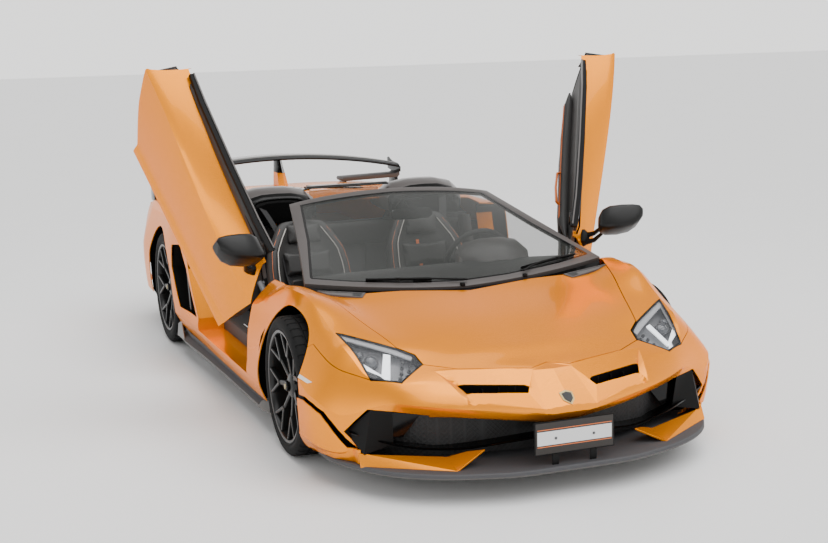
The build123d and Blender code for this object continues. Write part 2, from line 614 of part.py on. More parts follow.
def make_grille():
    """Dark mesh panels behind the front air intakes, with an open slot to the tow eye."""
    line = [(2190, 0), (2150, 330), (2098, 520), (1960, 690), (1850, 860)]
    back = [(x - 8, y) for x, y in line]
    wall = plan_prism(line + back[::-1], 136, 400)
    slot_from, slot_to = TOW_EYE_Y - 20, TOW_EYE_Y + 20
    tools = [block(1800, 2300, slot_from, slot_to, 130, TOW_EYE_Z + 40)]
    for y in (-690, -520, slot_from, slot_to, 0, 330, 520, 690):
        tools.append(block(1800, 2300, y - SEAM / 2, y + SEAM / 2, 130, 410))
    return cut(wall + other_side(wall), tools)


def make_plate_bracket():
    """Front number plate bracket, standing on the splitter."""
    x, z = FRONT_PLATE_X, FRONT_PLATE_Z
    solid = block(x - 7, x - 3, -190, 190, z - 70, z + 75)
    for y in (-90, 90):
        solid = solid + block(x - 7, x - 3, y - 15, y + 15, 136, z - 69)
    return cut(solid, plate_holes(x - 20, x + 20, z))


def make_exhaust():
    pipes = [Pos(-2300, y, z) * Rot(0, 90, 0) * Cylinder(48, 130) for y in (-60, 60) for z in (600, 500)]
    solid = pipes[0]
    for pipe in pipes[1:]:
        solid = solid + pipe
    return solid + block(-2260, -2230 - SEAM, -110, 110, 470, 650)


def main():
    os.makedirs("parts", exist_ok=True)
    outer = body_solid()
    lining = body_solid(WALL, WALL)
    panels = make_panels(outer - lining)
    inner = body_solid(WALL + SEAM, WALL + SEAM)
    bumper = panels["front_bumper"]
    save("front_bumper", bumper + other_side(bumper))
    for side, turn in (("left", lambda s: s), ("right", other_side)):
        save(f"fender_{side}", turn(panels["fender_left"]))
        save(f"quarter_{side}", turn(panels["quarter_left"]))
        save(f"door_skin_{side}", turn(raised(panels["door_skin_left"])))
        save(f"door_trim_{side}", turn(raised(make_door(inner))))
        save(f"mirror_{side}", turn(raised(largest(make_mirror() - outer))))
    save("door_sills", both_sides(panels["sill_left"]))
    save("side_skirts", both_sides(panels["skirt_left"]))
    save("headlights", both_sides(panels["lamp_left"]))
    save("rear_fascia", panels["rear_fascia"])
    save("hood", panels["hood"] + lid_bosses(HOOD_HINGE, lining))
    save("engine_cover", panels["engine_cover"] + lid_bosses(COVER_HINGE, lining))
    front = make_corner(FRONT_AXLE_X, FRONT_TYRE_R, FRONT_TYRE_W, FRONT_TRACK, FRONT_RIM_R, DISC_R_FRONT,
                        FRONT_RAIL_Y + FRONT_RAIL_T, -1)
    rear = make_corner(REAR_AXLE_X, REAR_TYRE_R, REAR_TYRE_W, REAR_TRACK, REAR_RIM_R, DISC_R_REAR,
                       REAR_RAIL_Y + REAR_RAIL_T, 1)
    for end, corner in (("front", front), ("rear", rear)):
        for side, turn in (("left", lambda s: s), ("right", other_side)):
            for piece in ("tyre", "rim"):
                save(f"{piece}_{end}_{side}", turn(corner[piece]))
    for side, turn in (("left", lambda s: s), ("right", other_side)):
        save(f"knuckle_{side}", turn(front["knuckle"]))
        save(f"caliper_{side}", turn(front["caliper"]))
    save("rear_uprights", both_sides(rear["knuckle"]))
    save("rear_calipers", both_sides(rear["caliper"]))
    arms = Compound([*solids_of(front["arms"]), *solids_of(rear["arms"])])
    save("suspension_arms", both_sides(arms))
    front_liner = liner(inner, FRONT_AXLE_X, FRONT_TYRE_R, FRONT_ARCH_R)
    rear_liner = liner(inner, REAR_AXLE_X, REAR_TYRE_R, REAR_ARCH_R)
    save("wheel_liners", both_sides(Compound([*solids_of(front_liner), *solids_of(rear_liner)])))
    tub = make_tub()
    pin = hinge_cylinder(HINGE_PIN_R, 43, 130)
    save("tub", tub + pin + other_side(pin))
    front_frame = make_front_frame()
    save("front_frame", front_frame)
    save("luggage_tub", make_luggage_tub())
    save("rear_frame", make_rear_frame(lining))
    save("seats", both_sides(make_seat()))
    save("dashboard", make_dashboard())
    save("console", make_console())
    save("steering_wheel", make_steering_wheel())
    frame, pane = make_windscreen()
    save("windscreen_frame", largest(frame - front_frame))
    save("windscreen", pane)
    save("roll_hoop_covers", both_sides(largest(make_hump() - outer)))
    save("rear_window", largest(block(-650, -644, -224, 224, 862, 1000) - outer))
    save("side_intakes", both_sides(make_intake(inner)))
    save("engine", make_engine())
    save("rear_wing", make_wing() - outer)
    save("wing_pylon", make_wing_pylon() - outer)
    save("diffuser", make_diffuser())
    save("front_splitter", make_splitter())
    save("front_grille", make_grille())
    save("plate_bracket", make_plate_bracket())
    save("tail_lights", both_sides(block(-2346, -2330 - SEAM, 480, 820, 650, 690)))
    save("exhaust", make_exhaust())


if __name__ == "__main__":
    main()
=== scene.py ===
import json
import math
from contextlib import contextmanager

import bmesh
import bpy
from mathutils import Matrix, Vector


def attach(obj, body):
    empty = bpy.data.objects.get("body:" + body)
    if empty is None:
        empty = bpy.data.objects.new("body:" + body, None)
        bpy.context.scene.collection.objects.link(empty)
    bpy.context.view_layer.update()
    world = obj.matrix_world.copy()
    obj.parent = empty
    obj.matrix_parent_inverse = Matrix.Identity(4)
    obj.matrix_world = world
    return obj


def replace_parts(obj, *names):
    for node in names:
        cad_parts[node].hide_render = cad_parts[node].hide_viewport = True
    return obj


bl_info = {
    "name": "Scissor-door supercar",
    "version": (1, 0, 0),
    "blender": (4, 5, 0),
    "location": "View3D > Sidebar > Supercar",
    "description": "Builds the looks of an open mid-engined supercar around its fixed frame",
    "category": "Add Mesh",
}

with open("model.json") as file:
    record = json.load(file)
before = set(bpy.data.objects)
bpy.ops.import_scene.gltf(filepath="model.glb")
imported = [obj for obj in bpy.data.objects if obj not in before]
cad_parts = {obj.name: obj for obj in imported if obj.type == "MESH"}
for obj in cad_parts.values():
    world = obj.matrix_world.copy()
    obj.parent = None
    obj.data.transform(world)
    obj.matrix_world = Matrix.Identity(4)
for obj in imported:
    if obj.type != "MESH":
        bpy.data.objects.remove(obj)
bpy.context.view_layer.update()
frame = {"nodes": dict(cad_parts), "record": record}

MM = 0.001
# wheel centre as (x, y, z), tyre width, rim radius and disc radius
WHEELS = {"front": ((1381, 860, 330), 255, 258, 200), "rear": ((-1319, 840, 355), 355, 271, 190)}
DOOR_HINGE = Vector((760, 940, 640)) * MM
DOOR_LEAN = math.atan(0.334)
DOOR_OPEN = math.radians(61.3)

# half sections of the body: x, floor y z, sill y z, belt y z, shoulder y z, deck y z, top z
BODY_ROWS = [
    (2415, 60, 352, 110, 356, 130, 364, 110, 372, 50, 378, 380),
    (2320, 60, 286, 300, 330, 430, 386, 330, 428, 148, 446, 440),
    (2200, 200, 300, 520, 338, 640, 400, 460, 474, 150, 506, 505),
    (2110, 400, 250, 640, 310, 745, 405, 660, 482, 390, 518, 533),
    (2030, 700, 136, 870, 175, 890, 330, 772, 488, 400, 548, 560),
    (1930, 860, 130, 955, 180, 988, 400, 812, 560, 450, 575, 583),
    (1830, 930, 130, 990, 200, 1008, 420, 835, 612, 500, 602, 606),
    (1700, 960, 130, 1000, 200, 1012, 470, 840, 660, 560, 630, 634),
    (1381, 960, 130, 1010, 300, 1020, 520, 870, 772, 640, 690, 684),
    (1190, 950, 120, 1000, 240, 1010, 420, 880, 770, 760, 742, 712),
    (762, 950, 110, 1005, 240, 1000, 330, 965, 612, 850, 728, 760),
    (-520, 950, 110, 1010, 240, 1010, 330, 1038, 840, 835, 880, 920),
    (-900, 950, 120, 1030, 260, 1046, 520, 1030, 840, 800, 905, 960),
    (-1319, 950, 130, 1035, 300, 1049, 560, 990, 850, 740, 885, 935),
    (-1900, 930, 150, 1020, 260, 1035, 560, 940, 850, 640, 875, 890),
    (-2330, 880, 250, 940, 330, 950, 560, 900, 790, 600, 850, 860),
]
# outward crown in the middle of each strip between two lines, floor to top
CROWN = (0, 4, 8, 14, 8, 8)
# outlines in plan as (x, y) and from the side as (x, z)
HOOD_PLAN = [(2173, 0), (2212, 90), (2118, 402), (2037, 530), (1963, 540), (1900, 603), (1262, 785),
             (1262, 560), (1325, 0)]
LAMP_PLAN = [(1731, 829), (1900, 603), (1963, 540), (2037, 530), (2112, 654), (2031, 770)]
COVER_PLAN = [(-940, 0), (-940, 300), (-1100, 430), (-1900, 520), (-1960, 470), (-1960, 0)]
CABIN_PLAN = [(1325, 0), (1262, 560), (1262, 785), (1180, 812), (770, 835), (-640, 835), (-640, 0)]
DOOR_SIDE = [(738, 262), (770, 612), (625, 723), (600, 800), (-428, 886), (-520, 840), (-455, 610),
             (-347, 330), (-346, 262)]
BUMPER_SIDE = [(2600, 40), (2600, 700), (2080, 700), (2030, 486), (1690, 590), (1640, 560), (1640, 40)]
INTAKE_SIDE = [(-395, 330), (-500, 600), (-640, 730), (-860, 700), (-890, 560), (-760, 330)]


# ---- sizes and colours a user may change ---------------------------------------------
def color_prop(name, description, default):
    return bpy.props.FloatVectorProperty(name=name, description=description, subtype="COLOR", size=4,
                                         min=0.0, max=1.0, default=(*default, 1.0))


class SupercarPaint(bpy.types.PropertyGroup):
    body: color_prop("Body paint", "Colour of the painted panels", (1.0, 0.31, 0.0))
    cabin: color_prop("Cabin", "Colour of the cabin leather", (0.022, 0.021, 0.02))
    accent: color_prop("Accent", "Colour of calipers, straps and stitching", (0.75, 0.16, 0.02))
    floor: color_prop("Floor", "Colour of the studio floor", (0.92, 0.92, 0.92))


class SupercarSizes(bpy.types.PropertyGroup):
    panel: bpy.props.FloatProperty(name="Panel thickness", description="Thickness of the body panels",
                                   default=0.005, unit="LENGTH")
    shut_gap: bpy.props.FloatProperty(name="Shut gap", description="Gap round the panels that open",
                                      default=0.004, unit="LENGTH")
    spokes: bpy.props.IntProperty(name="Spokes", description="Forked spokes in each wheel", default=7)


def paint():
    return bpy.context.scene.supercar_paint


def sizes():
    return bpy.context.scene.supercar_sizes


# ---- finishes ------------------------------------------------------------------------
def new_material(name):
    made = bpy.data.materials.get(name)
    if made:
        return made, None
    made = bpy.data.materials.new(name)
    made.use_nodes = True
    return made, made.node_tree.nodes["Principled BSDF"]


# kind of grain: texture, its scale, stretch along x y z, colour swing, roughness swing, relief in mm
GRAINS = {
    "flake": ("noise", 1400, (1, 1, 1), 0.10, 0.06, 0.0),
    "plastic": ("noise", 900, (1, 1, 1), 0.20, 0.10, 0.05),
    "leather": ("cells", 420, (1, 1, 1), 0.20, 0.10, 0.08),
    "rubber": ("noise", 160, (1, 1, 1), 0.30, 0.12, 0.10),
    "brushed": ("noise", 90, (1, 14, 1), 0.25, 0.15, 0.02),
    "carbon": ("weave", 220, (1, 1, 1), 0.45, 0.15, 0.05),
    "net": ("net", 62, (1, 1, 1), 0.90, 0.10, 2.0),
    "cloth": ("weave", 700, (1, 1, 1), 0.40, 0.05, 0.20),
    "pile": ("noise", 700, (1, 1, 1), 0.60, 0.05, 1.00),
    "smear": ("noise", 7, (1, 1, 1), 0.05, 0.04, 0.0),
    "floor": ("noise", 1.2, (1, 1, 1), 0.03, 0.10, 0.0),
}
GRAIN_OF = {"body paint": "flake", "gloss black": "flake", "cabin leather": "leather",
            "tyre rubber": "rubber",
            "disc steel": "brushed", "carbon": "carbon", "intake mesh": "net", "belt webbing": "cloth",
            "carpet": "pile", "clear glass": "smear", "lamp cover": "smear", "lens glass": "smear",
            "mirror glass": "smear", "screen glass": "smear", "studio_floor": "floor",
            "pale piping": "leather", "caliper paint": "flake", "rim black": "flake", "red lamp": "smear"}


def grain_group(kind):
    """Node group that works a fine grain into a colour, a roughness and a normal."""
    name = "grain " + kind
    group = bpy.data.node_groups.get(name)
    if group:
        return group
    texture, scale, stretch, color_swing, rough_swing, relief = GRAINS[kind]
    group = bpy.data.node_groups.new(name, "ShaderNodeTree")
    for label, way, socket in (("Color", "INPUT", "Color"), ("Roughness", "INPUT", "Float"),
                               ("Color", "OUTPUT", "Color"), ("Roughness", "OUTPUT", "Float"),
                               ("Normal", "OUTPUT", "Vector")):
        group.interface.new_socket(name=label, in_out=way, socket_type="NodeSocket" + socket)
    nodes, links = group.nodes, group.links
    start, end = nodes.new("NodeGroupInput"), nodes.new("NodeGroupOutput")
    place, spread = nodes.new("ShaderNodeTexCoord"), nodes.new("ShaderNodeMapping")
    spread.inputs["Scale"].default_value = stretch
    if texture == "net":
        spread.inputs["Rotation"].default_value = (math.radians(45), 0, 0)
    links.new(place.outputs["Object"], spread.inputs["Vector"])
    if texture == "noise":
        maker = nodes.new("ShaderNodeTexNoise")
        maker.inputs["Detail"].default_value = 3.0
        mask = maker.outputs[0]
    elif texture == "weave":
        maker = nodes.new("ShaderNodeTexChecker")
        mask = maker.outputs["Fac"]
    else:
        maker = nodes.new("ShaderNodeTexVoronoi")
        maker.feature = "DISTANCE_TO_EDGE"
        maker.inputs["Randomness"].default_value = 0.0 if texture == "net" else 1.0
        lift = nodes.new("ShaderNodeMapRange")
        lift.inputs["From Max"].default_value = 0.16
        links.new(maker.outputs["Distance"], lift.inputs["Value"])
        mask = lift.outputs["Result"]
        if texture == "net":
            lift.inputs["To Min"].default_value, lift.inputs["To Max"].default_value = 1.0, 0.0
    maker.inputs["Scale"].default_value = scale
    links.new(spread.outputs["Vector"], maker.inputs["Vector"])
    shade_range, rough_range = nodes.new("ShaderNodeMapRange"), nodes.new("ShaderNodeMapRange")
    shade_range.inputs["To Min"].default_value = 1 - color_swing
    rough_range.inputs["To Min"].default_value = -rough_swing / 2
    rough_range.inputs["To Max"].default_value = rough_swing / 2
    scaled, total = nodes.new("ShaderNodeVectorMath"), nodes.new("ShaderNodeMath")
    scaled.operation, total.operation = "SCALE", "ADD"
    total.use_clamp = True
    bump = nodes.new("ShaderNodeBump")
    bump.inputs["Strength"].default_value = 0.6 if relief else 0.0
    bump.inputs["Distance"].default_value = relief * MM
    links.new(mask, shade_range.inputs["Value"])
    links.new(mask, rough_range.inputs["Value"])
    links.new(mask, bump.inputs["Height"])
    links.new(start.outputs["Color"], scaled.inputs[0])
    links.new(shade_range.outputs["Result"], scaled.inputs["Scale"])
    links.new(start.outputs["Roughness"], total.inputs[0])
    links.new(rough_range.outputs["Result"], total.inputs[1])
    links.new(scaled.outputs["Vector"], end.inputs["Color"])
    links.new(total.outputs["Value"], end.inputs["Roughness"])
    links.new(bump.outputs["Normal"], end.inputs["Normal"])
    return group


def finish(name, color, roughness=0.5, metallic=0.0, coat=0.0, **more):
    """A finish with its grain. Further settings are sockets by name, with underscores for spaces."""
    made, shader = new_material(name)
    if shader:
        tree = made.node_tree
        grain = tree.nodes.new("ShaderNodeGroup")
        grain.node_tree = grain_group(GRAIN_OF.get(name, "plastic"))
        grain.inputs["Color"].default_value = (*color[:3], 1.0)
        grain.inputs["Roughness"].default_value = roughness
        tree.links.new(grain.outputs["Color"], shader.inputs["Base Color"])
        tree.links.new(grain.outputs["Roughness"], shader.inputs["Roughness"])
        tree.links.new(grain.outputs["Normal"], shader.inputs["Normal"])
        shader.inputs["Metallic"].default_value = metallic
        shader.inputs["Coat Weight"].default_value = coat
        shader.inputs["Coat Roughness"].default_value = 0.03
        for key, value in more.items():
            shader.inputs[key.replace("_", " ")].default_value = value
    return made


def body_paint():
    return finish("body paint", paint().body, 0.27, 0.6, 0.3, Specular_IOR_Level=0.1,
                  Specular_Tint=(1.0, 0.45, 0.05, 1.0))


def gloss_black():
    return finish("gloss black", (0.002, 0.002, 0.002), 0.12, 0.0, 0.08, Specular_IOR_Level=0.2)


def satin_black():
    return finish("satin black", (0.004, 0.004, 0.004), 0.42, Specular_IOR_Level=0.15)


def matte_black():
    return finish("matte black", (0.002, 0.002, 0.002), 0.8, Specular_IOR_Level=0.05)


def grey_black():
    return finish("grey gloss trim", (0.075, 0.066, 0.063), 0.3, 0.0, 0.3)


def carbon():
    return finish("carbon", (0.005, 0.0045, 0.004), 0.5, Specular_IOR_Level=0.08)


def tyre_rubber():
    return finish("tyre rubber", (0.009, 0.009, 0.009), 0.75, Specular_IOR_Level=0.15)


def rim_black():
    return finish("rim black", (0.010, 0.010, 0.010), 0.3, 0.2, 0.1, Specular_IOR_Level=0.3)


def disc_steel():
    return finish("disc steel", (0.13, 0.13, 0.135), 0.4, 0.9)


def caliper_paint():
    return finish("caliper paint", paint().accent, 0.35, 0.0, 0.6)


def clear_glass():
    return finish("clear glass", (0.03, 0.034, 0.03), 0.03, 0.0, 1.0, Alpha=0.34, Specular_IOR_Level=1.0)


def cabin_leather():
    return finish("cabin leather", paint().cabin, 0.55)


def lamp_grey():
    return finish("lamp housing", (0.22, 0.22, 0.23), 0.3, 0.3)


def lamp_white():
    return finish("lamp light", (0.9, 0.92, 0.95), 0.3, Emission_Color=(0.9, 0.95, 1.0, 1.0),
                  Emission_Strength=1.6)


def lens_clear():
    return finish("lamp cover", (0.25, 0.26, 0.28), 0.02, 0.0, 0.0, Alpha=0.1)


# pale grey strips painted as highlights along the edges and crests of black parts
def painted_edge_highlight():
    return finish("carbon painted edge highlight", (0.11, 0.105, 0.10), 0.4, Specular_IOR_Level=0.2)


def mesh_black():
    return finish("intake mesh", (0.015, 0.015, 0.016), 0.55)


def screen_trim():
    return finish("screen surround", (0.075, 0.066, 0.063), 0.42, Specular_IOR_Level=0.3)


def mirror_glass():
    return finish("mirror glass", (0.5, 0.52, 0.55), 0.05, 1.0)


def plate_face():
    return finish("plate", (0.045, 0.04, 0.037), 0.5, Specular_IOR_Level=0.2)


def plate_band():
    return finish("plate band", (0.72, 0.72, 0.72), 0.45)


# pale grey painted as the highlight along the headlight's rim
def painted_rim_highlight():
    return finish("lamp rim painted highlight", (0.5, 0.5, 0.52), 0.35)


# ---- mesh tools ----------------------------------------------------------------------
def to_object(name, bm, material, sharp=30.0):
    """Turns a bmesh in metres into a shaded object at the origin."""
    mesh = bpy.data.meshes.new(name)
    bm.to_mesh(mesh)
    bm.free()
    obj = bpy.data.objects.new(name, mesh)
    bpy.context.scene.collection.objects.link(obj)
    shade(obj, sharp)
    mesh.materials.append(material)
    return obj


def shade(obj, sharp=30.0):
    mesh = obj.data
    mesh.polygons.foreach_set("use_smooth", [True] * len(mesh.polygons))
    mesh.set_sharp_from_angle(angle=math.radians(sharp))
    mesh.update()


def bake(obj):
    """Applies all modifiers of an object."""
    graph = bpy.context.evaluated_depsgraph_get()
    baked = bpy.data.meshes.new_from_object(obj.evaluated_get(graph))
    old = obj.data
    obj.modifiers.clear()
    obj.data = baked
    baked.name = old.name
    bpy.data.meshes.remove(old)
    return obj


def bevel(obj, width, segments=2, angle=30.0):
    tool = obj.modifiers.new("edge", "BEVEL")
    tool.width = width
    tool.segments = segments
    tool.limit_method = "ANGLE"
    tool.angle_limit = math.radians(angle)
    tool.harden_normals = False
    return bake(obj)


def subdivide(obj, levels):
    tool = obj.modifiers.new("smooth", "SUBSURF")
    tool.levels = levels
    tool.render_levels = levels
    return bake(obj)


def solidify(obj, thickness):
    tool = obj.modifiers.new("wall", "SOLIDIFY")
    tool.thickness = thickness
    tool.offset = -1.0
    return bake(obj)


@contextmanager
def editing(obj):
    """An object's mesh as a bmesh, written back at the end."""
    bm = bmesh.new()
    bm.from_mesh(obj.data)
    yield bm
    bm.to_mesh(obj.data)
    bm.free()


def placed(x, y, z, degrees=0, axis="Y"):
    """Matrix of a turn about an axis and then a move in mm."""
    return Matrix.Translation(Vector((x, y, z)) * MM) @ Matrix.Rotation(math.radians(degrees), 4, axis)


def flip(bm, scale=(1, -1, 1)):
    """Mirrors a bmesh, across the car's middle unless told otherwise."""
    bmesh.ops.scale(bm, vec=scale, verts=bm.verts)
    bmesh.ops.reverse_faces(bm, faces=bm.faces)


def add_twin(bm):
    """Adds the right-hand half to a bmesh that holds the left one."""
    twin = bmesh.ops.duplicate(bm, geom=bm.verts[:] + bm.edges[:] + bm.faces[:])["geom"]
    bmesh.ops.scale(bm, vec=(1, -1, 1), verts=[g for g in twin if isinstance(g, bmesh.types.BMVert)])
    bmesh.ops.reverse_faces(bm, faces=[g for g in twin if isinstance(g, bmesh.types.BMFace)])


def pour(shape, into):
    """Moves the shapes of one bmesh into another."""
    mesh = bpy.data.meshes.new("part")
    shape.to_mesh(mesh)
    shape.free()
    into.from_mesh(mesh)
    bpy.data.meshes.remove(mesh)


def mirrored(obj, name, body):
    """A copy on the car's right."""
    mesh = obj.data.copy()
    bm = bmesh.new()
    bm.from_mesh(mesh)
    flip(bm)
    bm.to_mesh(mesh)
    bm.free()
    copy = bpy.data.objects.new(name, mesh)
    bpy.context.scene.collection.objects.link(copy)
    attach(copy, body)
    return copy


def add_mirror(obj):
    """Adds the right-hand half to an object that holds the left one."""
    with editing(obj) as bm:
        bmesh.ops.mirror(bm, geom=bm.verts[:] + bm.edges[:] + bm.faces[:], matrix=Matrix.Identity(4),
                         merge_dist=-1, axis="Y")


def whole_plan(half):
    return half + [(x, -y) for x, y in half[::-1] if y > 0]


def grown(points, distance):
    """An outline moved outwards by distance in mm, or inwards if it is negative."""
    turn = sum(a[0] * b[1] - b[0] * a[1] for a, b in zip(points, points[1:] + points[:1]))
    side = -1 if turn > 0 else 1
    moved = []
    for before, here, after in zip(points[-1:] + points[:-1], points, points[1:] + points[:1]):
        n1, n2 = edge_normal(before, here), edge_normal(here, after)
        share = 1 + n1[0] * n2[0] + n1[1] * n2[1]
        moved.append(tuple(here[k] + side * distance * (n1[k] + n2[k]) / share for k in range(2)))
    return moved


def edge_normal(a, b):
    run, rise = b[0] - a[0], b[1] - a[1]
    size = math.hypot(run, rise)
    return (-rise / size, run / size)


class Piece:
    """Collects shapes and their finishes into one object."""

    def __init__(self, name):
        self.name = name
        self.bm = bmesh.new()
        self.finishes = []

    def add(self, shape, material, turn=None):
        """Adds a bmesh, which is used up, in one finish and if wanted turned by a matrix."""
        if turn is not None:
            bmesh.ops.transform(shape, matrix=turn, verts=shape.verts)
        if material not in self.finishes:
            self.finishes.append(material)
        for face in shape.faces:
            face.material_index = self.finishes.index(material)
        pour(shape, self.bm)

    def done(self, body, *nodes, both=False, slot=None, sharp=30.0, turn=None):
        """Makes the object, with its mirror image in it if both, riding a body and replacing nodes."""
        if turn is not None:
            bmesh.ops.transform(self.bm, matrix=turn, verts=self.bm.verts)
        if both:
            add_twin(self.bm)
        obj = to_object(self.name, self.bm, self.finishes[0], sharp)
        for material in self.finishes[1:]:
            obj.data.materials.append(material)
        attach(obj, body)
        for node in nodes:
            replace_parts(obj, node)
        return obj


def soften(bm, width, segments=2, least=30.0):
    """Rounds the sharp edges of a closed shape, width in mm."""
    edges = [e for e in bm.edges if len(e.link_faces) == 2 and e.calc_face_angle() > math.radians(least)]
    bmesh.ops.bevel(bm, geom=edges, offset=width * MM, offset_type="OFFSET", segments=segments,
                    profile=0.5, affect="EDGES", clamp_overlap=True, material=-1)
    return bm


def block(x0, x1, y0, y1, z0, z1, soft=0.0, segments=2):
    bm = bmesh.new()
    bmesh.ops.create_cube(bm, size=1)
    bmesh.ops.scale(bm, vec=Vector((x1 - x0, y1 - y0, z1 - z0)) * MM, verts=bm.verts)
    bmesh.ops.translate(bm, vec=Vector((x0 + x1, y0 + y1, z0 + z1)) * MM / 2, verts=bm.verts)
    return soften(bm, soft, segments) if soft else bm


def disc(radius, depth, place, axis="Y", segments=48, soft=0.0):
    """Cylinder centred on place and lying along an axis."""
    bm = bmesh.new()
    bmesh.ops.create_cone(bm, cap_ends=True, segments=segments, radius1=radius * MM,
                          radius2=radius * MM, depth=depth * MM)
    if axis != "Z":
        turn = Matrix.Rotation(math.pi / 2, 3, "X" if axis == "Y" else "Y")
        bmesh.ops.rotate(bm, verts=bm.verts, cent=(0, 0, 0), matrix=turn)
    bmesh.ops.translate(bm, verts=bm.verts, vec=Vector(place) * MM)
    return soften(bm, soft, 2, 50) if soft else bm


def loft(rings, closed=True, caps=True):
    """Skin through rings of points in mm, each with the same number of points."""
    bm = bmesh.new()
    loops = []
    for ring in rings:
        verts = [bm.verts.new(Vector(p) * MM) for p in ring]
        for pair in zip(verts, verts[1:] + verts[:1] if closed else verts[1:]):
            bm.edges.new(pair)
        loops.append(verts)
    for va, vb in zip(loops, loops[1:]):
        count = len(va)
        for i in range(count if closed else count - 1):
            j = (i + 1) % count
            bm.faces.new((va[i], va[j], vb[j], vb[i]))
    if caps:
        bm.faces.new(loops[0])
        bm.faces.new(loops[-1][::-1])
    bmesh.ops.recalc_face_normals(bm, faces=bm.faces)
    return bm


def tube(path, radius, sides=10):
    """Round bar along points in mm."""
    points = [Vector(p) for p in path]
    rings = []
    side = None
    for i, point in enumerate(points):
        way = (points[min(i + 1, len(points) - 1)] - points[max(i - 1, 0)]).normalized()
        if side is None:
            side = way.orthogonal().normalized()
        side = (side - way * side.dot(way)).normalized()
        other = way.cross(side)
        rings.append([point + (side * math.cos(a) + other * math.sin(a)) * radius
                      for a in (math.tau * k / sides for k in range(sides))])
    return loft(rings)


def plate(points, thickness, away=None):
    """Flat or folded plate through 3D points in mm, thickened towards away."""
    bm = bmesh.new()
    face = bm.faces.new([bm.verts.new(Vector(p) * MM) for p in points])
    bm.normal_update()
    way = Vector(away).normalized() if away else -face.normal
    grown_part = bmesh.ops.extrude_face_region(bm, geom=[face])["geom"]
    verts = [g for g in grown_part if isinstance(g, bmesh.types.BMVert)]
    bmesh.ops.translate(bm, verts=verts, vec=way * thickness * MM)
    bmesh.ops.recalc_face_normals(bm, faces=bm.faces)
    return bm


def turned(profile, segments=96, axis="Y"):
    """Closed shape of revolution about an axis through the origin, from (radius, along) points in mm."""
    bm = bmesh.new()
    verts = [bm.verts.new(Vector((r, a, 0)) * MM) for r, a in profile]
    edges = [bm.edges.new(pair) for pair in zip(verts, verts[1:])]
    if profile[0] != profile[-1] and (profile[0][0] or profile[-1][0]):
        edges.append(bm.edges.new((verts[-1], verts[0])))
    bmesh.ops.spin(bm, geom=verts + edges, cent=(0, 0, 0), axis=(0, 1, 0), angle=math.tau, steps=segments,
                   use_merge=True)
    bmesh.ops.remove_doubles(bm, verts=bm.verts, dist=1e-6)
    bmesh.ops.recalc_face_normals(bm, faces=bm.faces)
    if axis == "X":
        bmesh.ops.rotate(bm, verts=bm.verts, cent=(0, 0, 0), matrix=Matrix.Rotation(-math.pi / 2, 3, "Z"))
    if axis == "Z":
        bmesh.ops.rotate(bm, verts=bm.verts, cent=(0, 0, 0), matrix=Matrix.Rotation(math.pi / 2, 3, "X"))
    return bm


# ---- body skin -----------------------------------------------------------------------
def slopes(xs, ys):
    """Slopes at the points of a curve that never overshoots between them."""
    steps = [(y1 - y0) / (x1 - x0) for x0, x1, y0, y1 in zip(xs, xs[1:], ys, ys[1:])]
    found = [steps[0]]
    for a, b in zip(steps, steps[1:]):
        found.append(0.0 if a * b <= 0 else 2 * a * b / (a + b))
    return found + [steps[-1]]


def curve_at(xs, ys, x):
    tangents = slopes(xs, ys)
    for i in range(len(xs) - 1):
        if xs[i] <= x <= xs[i + 1]:
            break
    h = xs[i + 1] - xs[i]
    t = (x - xs[i]) / h
    a, b = ys[i], ys[i + 1]
    ta, tb = tangents[i] * h, tangents[i + 1] * h
    return ((2 * t ** 3 - 3 * t ** 2 + 1) * a + (t ** 3 - 2 * t ** 2 + t) * ta
            + (3 * t ** 2 - 2 * t ** 3) * b + (t ** 3 - t ** 2) * tb)


def body_section(x):
    """The half section at x: seven line points and a crowned point between each two."""
    rows = BODY_ROWS[::-1]
    xs = [row[0] for row in rows]
    value = [curve_at(xs, [row[k] for row in rows], x) for k in range(1, 12)]
    points = [(0, value[1])] + [(value[k], value[k + 1]) for k in range(0, 10, 2)] + [(0, value[10])]
    ring = [points[0]]
    for i, (a, b) in enumerate(zip(points, points[1:])):
        n = edge_normal(a, b)
        crown = CROWN[i]
        ring.append(((a[0] + b[0]) / 2 - n[0] * crown, (a[1] + b[1]) / 2 - n[1] * crown))
        ring.append(b)
    return ring


def line_crease(line, x):
    """How crisp a body line is at x, from 0 to 1."""
    if line == 4:
        return 0.35 if 900 < x < 1800 else 0.95
    if line == 5:
        return 0.3 if x > 900 else 0.8
    if line == 3:
        return 0.5
    return 0.9 if line in (1, 2) else 0.0


